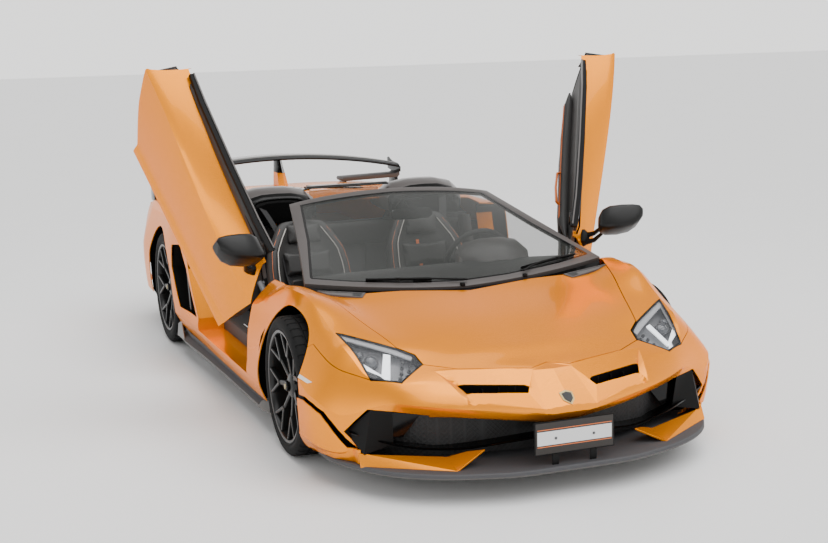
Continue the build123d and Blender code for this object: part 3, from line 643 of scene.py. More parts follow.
def body_skin():
    """The left half of the whole body's skin as an open mesh, floor to top, with crisp body lines."""
    rows = BODY_ROWS[::-1]
    stations = []
    for a, b in zip(rows, rows[1:]):
        count = max(1, round((b[0] - a[0]) / 55))
        stations += [a[0] + (b[0] - a[0]) * i / count for i in range(count)]
    stations.append(rows[-1][0])
    bm = bmesh.new()
    crease = bm.edges.layers.float.new("crease_edge")
    rings = [[bm.verts.new(Vector((x, y, z)) * MM) for y, z in body_section(x)] for x in stations]
    for first, second in zip(rings, rings[1:]):
        for a, b, c, d in zip(first, first[1:], second[1:], second):
            bm.faces.new((a, b, c, d))
    for x, first, second in zip(stations, rings, rings[1:]):
        for k in range(0, 13, 2):
            edge = bm.edges.get((first[k], second[k]))
            edge[crease] = line_crease(k // 2, x)
    bmesh.ops.recalc_face_normals(bm, faces=bm.faces)
    if sum(f.normal.y * f.calc_area() for f in bm.faces) < 0:
        bmesh.ops.reverse_faces(bm, faces=bm.faces)
    obj = to_object("skin", bm, body_paint(), 16)
    tool = obj.modifiers.new("smooth", "SUBSURF")
    tool.levels = tool.render_levels = 2
    tool.boundary_smooth = "PRESERVE_CORNERS"
    bake(obj)
    with editing(obj) as bm:
        for end in (rows[0][0], rows[-1][0]):
            rim = [e for e in bm.edges if e.is_boundary and all(abs(v.co.x - end * MM) < 1e-5
                                                                for v in e.verts)]
            tips = [v for e in rim for v in e.verts if abs(v.co.y) < 1e-5]
            rim.append(bm.edges.new((min(tips, key=lambda v: v.co.z), max(tips, key=lambda v: v.co.z))))
            bmesh.ops.edgeloop_fill(bm, edges=rim)
        bmesh.ops.recalc_face_normals(bm, faces=bm.faces)
        if sum(f.normal.y * f.calc_area() for f in bm.faces) < 0:
            bmesh.ops.reverse_faces(bm, faces=bm.faces)
    return obj


def skin_height(x, y):
    """Height of the upper body skin at a plan point, in mm."""
    upper = body_section(x)[8:][::-1]
    for (ya, za), (yb, zb) in zip(upper, upper[1:]):
        if ya <= y <= yb:
            return za + (zb - za) * (y - ya) / (yb - ya)
    return upper[-1][1]


def on_skin(points, lift=0.0):
    """Plan points lifted onto the skin, and by lift above it."""
    return [(x, y, skin_height(x, y) + lift) for x, y in points]


def along_curve(points, count):
    """Points evenly along a smooth curve through a few given ones."""
    rows = [Vector(p) for p in points]
    rows = [rows[0] * 2 - rows[1]] + rows + [rows[-1] * 2 - rows[-2]]
    spans = len(rows) - 3
    found = []
    for k in range(count):
        t = spans * k / (count - 1)
        i = min(int(t), spans - 1)
        t -= i
        a, b, c, d = rows[i:i + 4]
        found.append(0.5 * ((2 * b) + (c - a) * t + (2 * a - 5 * b + 4 * c - d) * t * t
                            + (3 * b - a - 3 * c + d) * t ** 3))
    return found


PLANES = {"xy": (0, 1), "xz": (0, 2), "yz": (1, 2)}
# least y of a cut that takes in the car's right side too
BOTH_SIDES = -2000


def within(point, outline):
    """Whether a 2D point lies inside an outline."""
    x, y = point
    hit = False
    for (xa, ya), (xb, yb) in zip(outline, outline[1:] + outline[:1]):
        if (ya > y) != (yb > y) and x < (xb - xa) * (y - ya) / (yb - ya) + xa:
            hit = not hit
    return hit


def score(bm, outline, plane, y_min=-10.0, z_min=-10.0):
    """Cuts a skin along an outline in mm and deletes nothing."""
    i, j = PLANES[plane]
    for a, b in zip(outline, outline[1:] + outline[:1]):
        run, rise = (b[0] - a[0]) * MM, (b[1] - a[1]) * MM
        if abs(run) + abs(rise) < 1e-7:
            continue
        co, no = Vector((0, 0, 0)), Vector((0, 0, 0))
        co[i], co[j] = a[0] * MM, a[1] * MM
        no[i], no[j] = -rise, run
        no.normalize()
        low = (min(a[0], b[0]) * MM - 1e-4, min(a[1], b[1]) * MM - 1e-4)
        high = (max(a[0], b[0]) * MM + 1e-4, max(a[1], b[1]) * MM + 1e-4)
        near = []
        for face in bm.faces:
            cs = [v.co for v in face.verts]
            if max(c[i] for c in cs) < low[0] or min(c[i] for c in cs) > high[0]:
                continue
            if max(c[j] for c in cs) < low[1] or min(c[j] for c in cs) > high[1]:
                continue
            if max(c.y for c in cs) < y_min * MM or max(c.z for c in cs) < z_min * MM:
                continue
            near.append(face)
        geom = set(near)
        for face in near:
            geom.update(face.edges)
            geom.update(face.verts)
        bmesh.ops.bisect_plane(bm, geom=list(geom), dist=2e-6, plane_co=co, plane_no=no)


def trim(bm, outline, plane, keep_inside=True, y_min=-10.0, z_min=-10.0):
    """Cuts a skin along an outline in mm and deletes what lies outside it, or inside it."""
    i, j = PLANES[plane]
    score(bm, outline, plane, y_min, z_min)
    gone = []
    for face in bm.faces:
        c = face.calc_center_median()
        if c.y < y_min * MM or c.z < z_min * MM:
            inside = False
        else:
            inside = within((c[i] / MM, c[j] / MM), outline)
        if inside != keep_inside:
            gone.append(face)
    bmesh.ops.delete(bm, geom=gone, context="FACES")


def box_outline(x0, x1, y0, y1):
    return [(x0, y0), (x1, y0), (x1, y1), (x0, y1)]


def circle_outline(x, z, radius):
    count = 72
    return [(x + radius * math.cos(math.tau * k / count), z + radius * math.sin(math.tau * k / count))
            for k in range(count)]


ARCHES = [(circle_outline(WHEELS[end][0][0], WHEELS[end][0][2], radius), "xz", 560)
          for end, radius in (("front", 378), ("rear", 398))]


def cut_panel(skin, name, keep, remove=(), wall=True):
    """One panel out of a skin: inside the keep outline, less each remove outline.

    Each outline comes with its plane, and if wanted with the least y and z where it counts.
    """
    bm = bmesh.new()
    bm.from_mesh(skin.data)
    trim(bm, keep[0], keep[1], True, *keep[2:])
    for outline, plane, *least in remove:
        trim(bm, outline, plane, False, *least)
    bmesh.ops.dissolve_degenerate(bm, dist=1e-5, edges=bm.edges)
    for v in bm.verts:
        if abs(v.co.y) < 2e-4:
            v.co.y = 0
    obj = to_object(name, bm, body_paint(), 16)
    return panel_wall(obj) if wall else obj


def panel_wall(obj):
    """Gives a cut skin its thickness and softened edges."""
    solidify(obj, sizes().panel)
    bevel(obj, 0.0012, 2, 50)
    with editing(obj) as bm:
        bmesh.ops.dissolve_degenerate(bm, dist=1e-6, edges=bm.edges)
    shade(obj, 16)
    return obj


def mirror_join(obj):
    """Adds the right half of a skin before it gets its thickness, welded along the middle."""
    with editing(obj) as bm:
        add_twin(bm)
        bmesh.ops.remove_doubles(bm, verts=bm.verts, dist=5e-5)


def swing_open(obj):
    """Turns a left door piece from shut to its open rest."""
    axis = Vector((0, math.cos(DOOR_LEAN), -math.sin(DOOR_LEAN)))
    turn = Matrix.Rotation(DOOR_OPEN, 4, axis)
    obj.data.transform(Matrix.Translation(DOOR_HINGE) @ turn @ Matrix.Translation(-DOOR_HINGE))
    return obj


HOOD_HOLE = (whole_plan(HOOD_PLAN), "xy", -10, 440)
LAMP_HOLE = (LAMP_PLAN, "xy", 0, 430)
CABIN_HOLE = (whole_plan(CABIN_PLAN), "xy", -10, 620)


def shut_gap():
    """Gap round a moving panel, in mm."""
    return sizes().shut_gap / MM


def door_hole():
    return grown(DOOR_SIDE, shut_gap()), "xz", 700


def painted(obj, body, *nodes):
    """Rides a painted panel on its body, in the place of its nodes."""
    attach(obj, body)
    for node in nodes:
        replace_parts(obj, node)
    return obj


def whole_panel(obj, body, *nodes):
    """Finishes a panel that crosses the middle of the car."""
    mirror_join(obj)
    panel_wall(obj)
    return painted(obj, body, *nodes)


def side_panels(left, name, node, bodies=("chassis", "chassis")):
    """Finishes a left-hand panel and mirrors it for the right."""
    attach(left, bodies[0])
    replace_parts(left, node + "_left")
    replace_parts(mirrored(left, name + "_right", bodies[1]), node + "_right")


def hood_panel(skin):
    """Front lid, less its nose end and its edge at the cowl."""
    hood = cut_panel(skin, "hood_skin", (grown(whole_plan(HOOD_PLAN), -shut_gap()), "xy"),
                     [(box_outline(0, 3000, 0, 430), "xz"),
                      (box_outline(1200, 1290, -900, 900), "xy")], wall=False)
    whole_panel(hood, "hood", "hood")


def cover_panel(skin):
    """Engine cover behind the humps."""
    plan = grown(whole_plan([(x, y - 9 if x > -1200 and y else y) for x, y in COVER_PLAN]), -shut_gap())
    cover = cut_panel(skin, "engine_cover_skin", (plan, "xy"),
                      [(box_outline(-3000, 0, 0, 500), "xz"),
                       (box_outline(-972, 0, -10, 1500), "xy")], wall=False)
    whole_panel(cover, "engine_cover", "engine_cover")


def tail_panel(skin):
    """Painted face of the tail."""
    tail = cut_panel(skin, "tail_panel", (box_outline(-2600, -2240, 400, 1200), "xz"), wall=False)
    whole_panel(tail, "chassis")


def bumper_panel(skin):
    """Front bumper with its mouth, facets and intake corners."""
    bumper = cut_panel(skin, "bumper_skin", (BUMPER_SIDE, "xz"),
                       [(box_outline(1000, 3000, 0, 136), "xz"), LAMP_HOLE, HOOD_HOLE, *ARCHES],
                       wall=False)
    shape_nose(bumper)
    crisp_nose(whole_panel(bumper, "chassis", "front_bumper"))


def corner_fin(skin):
    """Fin that stands out behind each intake."""
    fin = cut_panel(skin, "corner_fin", (grown(FIN_SIDE, -13), "xz", 780),
                    [(box_outline(1000, 3000, 0, 137), "xz"), *ARCHES], wall=False)
    for v in fin.data.vertices:
        v.co.y += FIN_OUT * MM
    add_mirror(fin)
    painted(panel_wall(fin), "chassis")


def fender_panels(skin):
    """Fenders between the bumper and the doors."""
    fender = cut_panel(skin, "fender_skin_left", (box_outline(776, 3000, 262, 1000), "xz", 300),
                       [(grown(BUMPER_SIDE, 2), "xz"), HOOD_HOLE, LAMP_HOLE, door_hole(),
                        CABIN_HOLE, *ARCHES])
    side_panels(fender, "fender_skin", "fender")


def quarter_panels(skin):
    """Rear quarters round the intakes and the engine cover."""
    quarter = cut_panel(skin, "quarter_skin_left", (box_outline(-2238, 600, 262, 1200), "xz"),
                        [(whole_plan(COVER_PLAN), "xy"), door_hole(), CABIN_HOLE,
                         (INTAKE_SIDE, "xz", 700), *ARCHES])
    side_panels(quarter, "quarter_skin", "quarter")


def sill_panel(skin):
    """Painted sills under the doors."""
    sill = cut_panel(skin, "sill_skin", (box_outline(-1000, 1100, 175, 261), "xz", 900), ARCHES)
    add_mirror(sill)
    painted(sill, "chassis", "door_sills")


def door_panels(skin):
    """Door skins, swung up to their open rest."""
    door = swing_open(cut_panel(skin, "door_skin_left", (DOOR_SIDE, "xz", 822)))
    side_panels(door, "door_skin", "door_skin", ("door_left", "door_right"))


class SUPERCAR_OT_body(bpy.types.Operator):
    """Build the painted body panels"""
    bl_idname = "supercar.body"
    bl_label = "Body panels"

    def execute(self, context):
        skin = body_skin()
        for build in (hood_panel, cover_panel, tail_panel, bumper_panel, corner_fin, fender_panels,
                      quarter_panels, sill_panel, door_panels):
            build(skin)
        bpy.data.objects.remove(skin)
        return {"FINISHED"}


# how far the fin stands out of the skin
FIN_OUT = 7
# outer corner of the intake from the front as (y, z), and the fin behind it from the side as (x, z)
CORNER_FRONT = [(608, 350), (704, 363), (803, 374), (850, 323), (893, 272), (849, 219), (803, 162),
                (700, 110), (560, 110), (560, 345)]
FIN_SIDE = [(1600, 386), (1727, 384), (1833, 394), (1904, 381), (1961, 354), (1992, 306), (2014, 259),
            (2032, 208), (2040, 162), (2042, 100), (1600, 100)]


def shape_nose(bumper):
    """Cuts the intake mouth and gives the nose its facets and its two slots."""
    with editing(bumper) as bm:
        score(bm, MOUTH_OUTLINE, "xy")
        gone = [f for f in bm.faces if f.calc_center_median().z < MOUTH_HEIGHT * MM
                and within((f.calc_center_median().x / MM, f.calc_center_median().y / MM), MOUTH_OUTLINE)]
        bmesh.ops.delete(bm, geom=gone, context="FACES")
        for corners in NOSE_FACETS + [facet for facet, _ in NOSE_WEDGES]:
            score(bm, [corner[:2] for corner in corners], "xy", 0, NOSE_LEAST)
        bm.normal_update()
        flat = set()
        for v in bm.verts:
            if v.co.z < NOSE_LEAST * MM or v.normal.z < 0.25:
                continue
            for (a, b, c), drop in NOSE_WEDGES:
                share = barycentric((v.co.x / MM, v.co.y / MM), a, b, c)
                if min(share) > -1e-3:
                    v.co.z -= WEDGE_DROP * MM * sum(w * d for w, d in zip(share, drop))
                    break
            else:
                for a, b, c in NOSE_FACETS:
                    share = barycentric((v.co.x / MM, v.co.y / MM), a, b, c)
                    if min(share) > -1e-3:
                        v.co.z = sum(w * p[2] for w, p in zip(share, (a, b, c))) * MM
                        flat.add(v)
                        break
        trim(bm, NOSE_SLOT, "xy", False, 0, NOSE_LEAST)
        trim(bm, CORNER_FRONT, "yz", False, 560)
        trim(bm, FIN_SIDE, "xz", False, 780)
        flat = {v for v in flat if v.is_valid}
        inside = [e for e in bm.edges if e.verts[0] in flat and e.verts[1] in flat]
        bmesh.ops.dissolve_limit(bm, angle_limit=math.radians(0.7),
                                 verts=[v for v in bm.verts if v in flat], edges=inside)


def crisp_nose(bumper):
    """Marks the nose's facet edges sharp, gentle as they are."""
    facets = NOSE_FACETS + [facet for facet, _ in NOSE_WEDGES]
    with editing(bumper) as bm:
        for edge in bm.edges:
            c = (edge.verts[0].co + edge.verts[1].co) / 2 / MM
            if c.z <= NOSE_LEAST + 5 or len(edge.link_faces) != 2:
                continue
            folded = edge.calc_face_angle(0) > math.radians(4)
            if folded and any(min(barycentric((c.x, abs(c.y)), *facet)) > -0.02 for facet in facets):
                edge.smooth = False


def barycentric(point, a, b, c):
    """The three shares of a plan point in a triangle."""
    x, y = point
    area = (b[1] - c[1]) * (a[0] - c[0]) + (c[0] - b[0]) * (a[1] - c[1])
    first = ((b[1] - c[1]) * (x - c[0]) + (c[0] - b[0]) * (y - c[1])) / area
    second = ((c[1] - a[1]) * (x - c[0]) + (a[0] - c[0]) * (y - c[1])) / area
    return first, second, 1 - first - second


# top of the mouth, least height of the nose's facets, and how deep its wedges go
MOUTH_HEIGHT, NOSE_LEAST, WEDGE_DROP = 352, 350, 17
NOSE_SLOT = [(2203, 438), (2207, 410), (2283, 162), (2298, 144), (2325, 162), (2253, 414)]
# corners of the nose's facets: E at the hood's edge, S and T above and below the slot, B at the
# foot of the nose, and C on its middle line
E0, E1, E2, E3 = (2100, 500, 513), (2222, 92, 500), (2122, 404, 514), (2176, 0, 513)
S0, S1 = (2207, 436, 466), (2300, 146, 450)
T0, T1 = (2246, 414, 448), (2321, 165, 434)
B0, B1, B2 = (2302, 434, 394), (2407, 124, 367), (2412, 0, 381)
C1 = (2236, 0, 500)
NOSE_FACETS = [(E0, E2, S0), (E2, E1, S1), (E2, S1, S0), (S0, S1, T1), (S0, T1, T0), (T0, T1, B1),
               (T0, B1, B0), (E1, B1, T1), (E1, T1, S1), (E3, E1, C1), (C1, E1, B1), (C1, B1, B2)]
NOSE_WEDGES = [((E0, S0, T0), (0, 1, 1)), ((E0, T0, B0), (0, 1, 0))]
MOUTH_OUTLINE = whole_plan([(2313, 0), (2288, 150), (2238, 387), (2158, 600), (2020, 780), (1938, 870),
                            (1900, 820), (2060, 700), (2060, 0)])


# ---- wheels --------------------------------------------------------------------------
def tyre_shape(radius, width, rim_r):
    """Tyre with rim protector, shoulder blocks and four tread grooves."""
    half = width / 2
    tread = half - 24
    side = [(rim_r + 1, half - 14), (rim_r + 7, half - 6), (rim_r + 13, half - 3), (rim_r + 17, half - 5),
            (rim_r + 30, half - 1), (radius - 34, half), (radius - 20, half - 4), (radius - 9, half - 11),
            (radius - 3, half - 18), (radius, tread)]
    grooves = []
    for share in (0.62, 0.2):
        middle = tread * share
        grooves += [(radius, middle + 6), (radius - 7, middle + 4.5), (radius - 7, middle - 4.5),
                    (radius, middle - 6)]
    upper = side + grooves
    profile = upper + [(r, -a) for r, a in upper[::-1]]
    profile = [(rim_r - 2, half - 30)] + profile + [(rim_r - 2, 30 - half)]
    steps = 120
    bm = turned(profile, steps)
    cuts = []
    for face in bm.faces:
        c = face.calc_center_median()
        r, a = math.hypot(c.x, c.z) / MM, abs(c.y) / MM
        step = round((math.atan2(c.z, c.x) % math.tau) / math.tau * steps - 0.5)
        if radius - 2 < r and a > tread * 0.66 and step % 3 == 0:
            cuts.append(face)
        elif radius - 2 < r and tread * 0.26 < a < tread * 0.56 and step % 4 == (0 if c.y > 0 else 2):
            cuts.append(face)
        elif radius - 14 < r < radius and a > tread + 1 and step % 3 == 0:
            cuts.append(face)
    bmesh.ops.inset_region(bm, faces=cuts, thickness=1.2 * MM, depth=-3.2 * MM, use_even_offset=False)
    return bm


def spoke_shape(rim_r, face_y, dish):
    """One forked spoke along +X, its face outwards at +Y, sunk by dish at the hub."""
    fork_r = 0.60 * rim_r
    tip = rim_r - 3
    lean = math.radians(13)
    end = Vector((tip * math.cos(lean), 0, tip * math.sin(lean)))
    fork = Vector((fork_r, 0, 0))
    bm = bmesh.new()

    def bar(a, b, wide_a, wide_b, y_a, y_b, deep_a, deep_b):
        way = (b - a).normalized()
        side = Vector((-way.z, 0, way.x))
        rings = []
        for p, wide, y, deep in ((a, wide_a, y_a, deep_a), (b, wide_b, y_b, deep_b)):
            rings.append([p + side * s * wide + Vector((0, y + d, 0)) for s, d in
                          ((-1, -deep), (-0.95, -4), (-0.5, 0), (0.5, 0), (0.95, -4), (1, -deep))])
        return loft(rings)

    y_fork = face_y - dish * 0.35
    stem = bar(Vector((42, 0, 0)), fork + Vector((10, 0, 0)), 15, 10.5, face_y - dish, y_fork, 34, 30)
    shapes = [stem]
    for s in (-1, 1):
        shapes.append(bar(fork + Vector((-6, 0, 3 * s)), Vector((end.x, 0, end.z * s)), 9.5, 8, y_fork,
                          face_y, 28, 24))
    for shape in shapes:
        pour(shape, bm)
    return bm


def rim_piece(name, rim_r, width, disc_r):
    """Wheel on the Y axis with its face towards +Y, its disc and its centre lock."""
    piece = Piece(name)
    half = width / 2 - 12
    barrel = [(rim_r + 8, half + 4), (rim_r + 9, half + 6), (rim_r + 4, half + 7), (rim_r - 5, half + 4),
              (rim_r - 9, half - 6), (rim_r - 12, half - 26), (rim_r - 12, -half + 10),
              (rim_r - 6, -half - 4), (rim_r + 6, -half - 6), (rim_r + 8, -half - 4), (rim_r + 8, -half),
              (rim_r, -half), (rim_r, half), (rim_r + 8, half), (rim_r + 8, half + 4)]
    piece.add(turned(barrel, 120), rim_black())
    face_y = half + 2
    spokes = sizes().spokes
    for k in range(spokes):
        turn = Matrix.Rotation(math.tau * k / spokes + 0.35, 4, "Y")
        piece.add(spoke_shape(rim_r - 6, face_y, 34), rim_black(), turn)
    piece.add(turned([(0, face_y - 22), (40, face_y - 24), (58, face_y - 34), (66, face_y - 44),
                      (66, face_y - 62), (56, face_y - 70), (56, -40), (0, -40)], 48), rim_black())
    piece.add(turned([(0, face_y - 6), (17, face_y - 6), (24, face_y - 10), (27, face_y - 26),
                      (0, face_y - 26)], 6), gloss_black())
    piece.add(turned([(0, face_y - 3), (13, face_y - 3), (14, face_y - 7), (0, face_y - 7)], 32),
              finish("cap metal", (0.35, 0.28, 0.14), 0.3, 0.8))
    for k in range(10):
        angle = math.tau * k / 10
        place = (48 * math.cos(angle), face_y - 33, 48 * math.sin(angle))
        piece.add(disc(4.5, 8, place, segments=6), disc_steel())
    disc_face = [(72, -26), (disc_r, -26), (disc_r, -38), (disc_r - 6, -38), (disc_r - 6, -44),
                 (disc_r, -44), (disc_r, -56), (72, -56), (72, -26)]
    rotor = turned(disc_face, 96)
    piece.add(rotor, disc_steel())
    # black dots painted on the disc face in place of its drilled holes, as their shade
    for k in range(60):
        angle = math.tau * k / 60
        r = disc_r - 18 - 34 * (k % 3) / 2
        piece.add(disc(3.2, 1.2, (r * math.cos(angle), -25.6, r * math.sin(angle)), segments=8),
                  matte_black())
    piece.add(turned([(57, -18), (74, -24), (80, -27), (80, -55), (57, -55), (57, -18)], 48),
              satin_black())
    return piece


def caliper_piece(disc_r, ahead):
    """Brake caliper over the disc, wheel centre at the origin, ahead or behind."""
    piece = Piece("caliper")
    outer = []
    for k in range(9):
        angle = math.radians(-38 + 76 * k / 8)
        outer.append((math.cos(angle), math.sin(angle)))
    rings = []
    for c, sn in outer:
        rings.append([(r * c, y, r * sn) for r, y in ((disc_r - 66, 4), (disc_r + 8, 8),
                                                      (disc_r + 30, -4), (disc_r + 32, -60),
                                                      (disc_r + 24, -84), (disc_r - 62, -88),
                                                      (disc_r - 62, -64), (disc_r + 7, -64),
                                                      (disc_r + 7, -18), (disc_r - 66, -18))])
    body = loft(rings)
    soften(body, 4, 2, 35)
    piece.add(body, caliper_paint())
    for k in (-22, 0, 22):
        angle = math.radians(k)
        place = ((disc_r - 28) * math.cos(angle), 5, (disc_r - 28) * math.sin(angle))
        piece.add(disc(17, 8, place, segments=28, soft=1.5), caliper_paint())
        piece.add(disc(9, 9.5, place, segments=6), satin_black())
    piece.add(block(66, disc_r - 42, -106, -84, -38, 38, 4), satin_black())
    if not ahead:
        flip(piece.bm, (-1, 1, 1))
    return piece


def place_corner(piece, name, body, centre, nodes, right):
    """Finishes a left-hand corner piece on the left, or mirrored on the right."""
    bm = piece.bm.copy()
    bmesh.ops.translate(bm, verts=bm.verts, vec=Vector(centre) * MM)
    if right:
        flip(bm)
    obj = to_object(name, bm, piece.finishes[0], 35)
    for material in piece.finishes[1:]:
        obj.data.materials.append(material)
    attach(obj, body)
    for node in nodes:
        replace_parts(obj, node)
    return obj


class SUPERCAR_OT_wheels(bpy.types.Operator):
    """Build the tyres, wheels, discs and calipers"""
    bl_idname = "supercar.wheels"
    bl_label = "Wheels and brakes"

    def execute(self, context):
        for end, (centre, width, rim_r, disc_r) in WHEELS.items():
            radius = centre[2]
            rubber = Piece("tyre")
            rubber.add(tyre_shape(radius, width, rim_r), tyre_rubber())
            wheel = rim_piece("rim", rim_r, width, disc_r)
            for side, right in (("left", False), ("right", True)):
                body = f"wheel_{end}_{side}"
                place_corner(rubber, f"{end}_tyre_{side}", body, centre, [f"tyre_{end}_{side}"], right)
                place_corner(wheel, f"{end}_wheel_{side}", body, centre, [f"rim_{end}_{side}"], right)
        centre, *_, disc_r = WHEELS["front"]
        front = caliper_piece(disc_r, False)
        for side, right in (("left", False), ("right", True)):
            place_corner(front, f"front_caliper_{side}", f"knuckle_{side}", centre, [f"caliper_{side}"],
                         right)
        centre, *_, disc_r = WHEELS["rear"]
        rear = caliper_piece(disc_r, True)
        bmesh.ops.translate(rear.bm, verts=rear.bm.verts, vec=Vector(centre) * MM)
        rear.name = "rear_calipers_pair"
        rear.done("chassis", "rear_calipers", both=True)
        return {"FINISHED"}


# ---- lamps, intakes and front trim ---------------------------------------------------
def fan(points, thickness, away=(0, 0, -1)):
    """Plate from 3D points that need not lie in one plane."""
    bm = plate(points, thickness, away)
    bmesh.ops.triangulate(bm, faces=bm.faces)
    return bm


def well(outline, depth, lift=0.0):
    """Open-topped recess under a plan outline on the skin."""
    top = on_skin(outline, lift)
    bm = loft([top, [(x, y, z - depth) for x, y, z in top]], caps=False)
    bm.verts.ensure_lookup_table()
    bm.faces.new(bm.verts[len(top):2 * len(top)])
    bmesh.ops.triangulate(bm, faces=[f for f in bm.faces if len(f.verts) > 4])
    bmesh.ops.recalc_face_normals(bm, faces=bm.faces)
    bmesh.ops.reverse_faces(bm, faces=bm.faces)
    bmesh.ops.solidify(bm, geom=bm.faces, thickness=-2 * MM)
    return bm


# pale strips along the headlight's rim, painted as its highlight
LAMP_RIM_HIGHLIGHT = [(1740, 821), (1898, 612), (1962, 550), (1978, 562), (1920, 634), (1786, 806)]
LAMP_EDGE_HIGHLIGHT = [(1744, 820), (1781, 800), (1953, 770), (1953, 784)]
LAMP_ARM = [(1929, 792), (1948, 768), (2016, 705), (2058, 686), (2104, 652), (2079, 700), (2033, 724),
            (1961, 780)]
LAMP_BAR = [(1914, 667), (1929, 640), (2045, 684), (2012, 712)]
LAMP_CORNER = [(1973, 778), (2018, 722), (2078, 704), (2031, 762)]
LAMP_DOTS = [(1971, 600), (1994, 572), (1996, 611), (2025, 589), (2026, 625), (2055, 608), (2056, 642)]


def lamp_units():
    """Headlights with their light bands, lenses and dots in wells, and pale strips along the rim painted
    as its highlight.
    """
    lamp = Piece("headlight_units")
    lamp.add(well(grown(LAMP_PLAN, -3), 52, -3), satin_black())
    lamp.add(fan(on_skin(grown(LAMP_PLAN, -6), -46), 4), lamp_grey())
    # pale strips painted as the rim's highlight
    lamp.add(fan(on_skin(LAMP_RIM_HIGHLIGHT, -10), 5), painted_rim_highlight())
    lamp.add(fan(on_skin(LAMP_EDGE_HIGHLIGHT, -10), 5), painted_rim_highlight())
    lamp.add(fan(on_skin(LAMP_ARM, -13), 6), lamp_white())
    lamp.add(fan(on_skin(LAMP_BAR, -13), 6), lamp_white())
    lamp.add(fan(on_skin(LAMP_CORNER, -5), 8), gloss_black())
    for (x, y), radius in (((1926, 728), 34), ((1878, 766), 20)):
        z = skin_height(x, y) - 30
        lean = placed(x, y, z, 52)
        lamp.add(turned([(radius, -16), (radius, 0), (radius - 4, 4), (radius - 9, 0),
                         (radius - 9, -16)], 40, "Z"), disc_steel(), lean)
        lamp.add(turned([(0, 9), (radius * 0.4, 7), (radius * 0.7, 1), (radius - 9, -8), (0, -8)], 40,
                        "Z"), finish("lens glass", (0.05, 0.055, 0.065), 0.05, 0.0, 1.0), lean)
    for x, y in LAMP_DOTS:
        z = skin_height(x, y) - 22
        lean = placed(x, y, z, 45)
        lamp.add(turned([(9, -8), (9, 0), (7.5, 1.5), (6, 0), (6, -8)], 20, "Z"), disc_steel(), lean)
        lamp.add(turned([(0, 2), (4, 1), (6, -3), (0, -3)], 16, "Z"), gloss_black(), lean)
    lamp.done("chassis", "headlights", both=True, slot="clear_lens")


def lamp_covers():
    """Clear covers over the headlights, with a black border."""
    skin = body_skin()
    cover = cut_panel(skin, "headlight_glass", (grown(LAMP_PLAN, -3), "xy", 0, 430), wall=False)
    border = cut_panel(skin, "headlight_border", (grown(LAMP_PLAN, -1.5), "xy", 0, 430),
                       [(grown(LAMP_PLAN, -10), "xy", 0, 430)], wall=False)
    bpy.data.objects.remove(skin)
    for obj, material, thickness in ((cover, lens_clear(), 0.002), (border, gloss_black(), 0.004)):
        solidify(obj, thickness)
        add_mirror(obj)
        obj.data.materials.clear()
        obj.data.materials.append(material)
        shade(obj, 20)
        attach(obj, "chassis")


class SUPERCAR_OT_lamps(bpy.types.Operator):
    """Build the headlights with their light bands and lenses"""
    bl_idname = "supercar.lamps"
    bl_label = "Headlights"

    def execute(self, context):
        for build in (lamp_units, lamp_covers):
            build()
        return {"FINISHED"}


SPLITTER = [(2471, 0), (2466, 250), (2430, 400), (2378, 545), (2300, 680), (2199, 788), (2060, 872),
            (1920, 928), (1775, 940)]


def nose_slots():
    """The two black slots in the nose, with their bars."""
    slots = Piece("nose_slots")
    slots.add(well(grown(NOSE_SLOT, 1), 45, -14), matte_black())
    for y in (200, 270, 340):
        slots.add(block(2240 - y * 0.1, 2310 - y * 0.18, y - 2, y + 2, 420, 455 - y * 0.02),
                  satin_black())
    slots.done("chassis", both=True)


def corner_fins():
    """Painted fins under the intakes and down the corners."""
    fins = Piece("corner_fins")
    fins.add(fan([(2078, 852, 186), (2108, 850, 137), (2345, 503, 137), (2312, 362, 205),
                  (2262, 428, 190), (2226, 500, 166), (2100, 800, 180)], 9, (-0.3, 0, -1)), body_paint())
    fins.add(fan([(2108, 850, 137), (2345, 503, 137), (2312, 362, 205), (2306, 366, 196),
                  (2335, 503, 130), (2100, 848, 130)], 4, (-1, 0, 0)), body_paint())
    rows = [(1700, 1004, 975), (1850, 993, 950), (1950, 955, 918), (2040, 864, 852), (2078, 852, 850)]
    fins.add(loft([[(x, top, 200), (x, foot, 137), (x, foot - 12, 137), (x, top - 14, 200)]
                   for x, top, foot in rows]), body_paint())
    obj = fins.done("chassis", both=True, slot="body_paint", sharp=20)
    bevel(obj, 0.0015, 2, 40)
    shade(obj, 20)


def intake_pockets():
    """Black linings and blades inside the intakes."""
    pocket = Piece("intake_pockets")
    pocket.add(fan([(1992, 880, 262), (2086, 790, 372), (2104, 700, 360), (2080, 690, 205),
                    (2096, 830, 182)], 6, (-1, 0, 0)), satin_black())
    pocket.add(fan([(2050, 800, 330), (2070, 690, 345), (2066, 560, 320), (2060, 640, 225),
                    (2046, 800, 232)], 5, (-1, 0, 0)), gloss_black())
    pocket.add(block(1922, 1930, 560, 880, 138, 372), matte_black())
    path = [(2045, 868, 268), (2090, 760, 232), (2118, 649, 199), (2150, 531, 181), (2205, 410, 183),
            (2262, 289, 203), (2292, 170, 217), (2300, 0, 224)]
    front = along_curve(path, 25)
    rings = [[(p.x, p.y, p.z), (p.x - 4, p.y, p.z - 5), (p.x - 75, p.y, p.z - 1),
              (p.x - 75, p.y, p.z + 5), (p.x - 6, p.y, p.z + 4)] for p in front]
    pocket.add(loft(rings), gloss_black())
    pocket.done("chassis", both=True, sharp=25)


def front_mesh():
    """Net across the mouth."""
    grille = Piece("front_mesh")
    line = [(2186, 0), (2150, 330), (2098, 520), (1972, 690), (1860, 850)]
    rings = [[(x, y, 138), (x, y, 396), (x - 6, y, 396), (x - 6, y, 138)] for x, y in line]
    grille.add(loft(rings), mesh_black())
    grille.done("chassis", "front_grille", both=True)


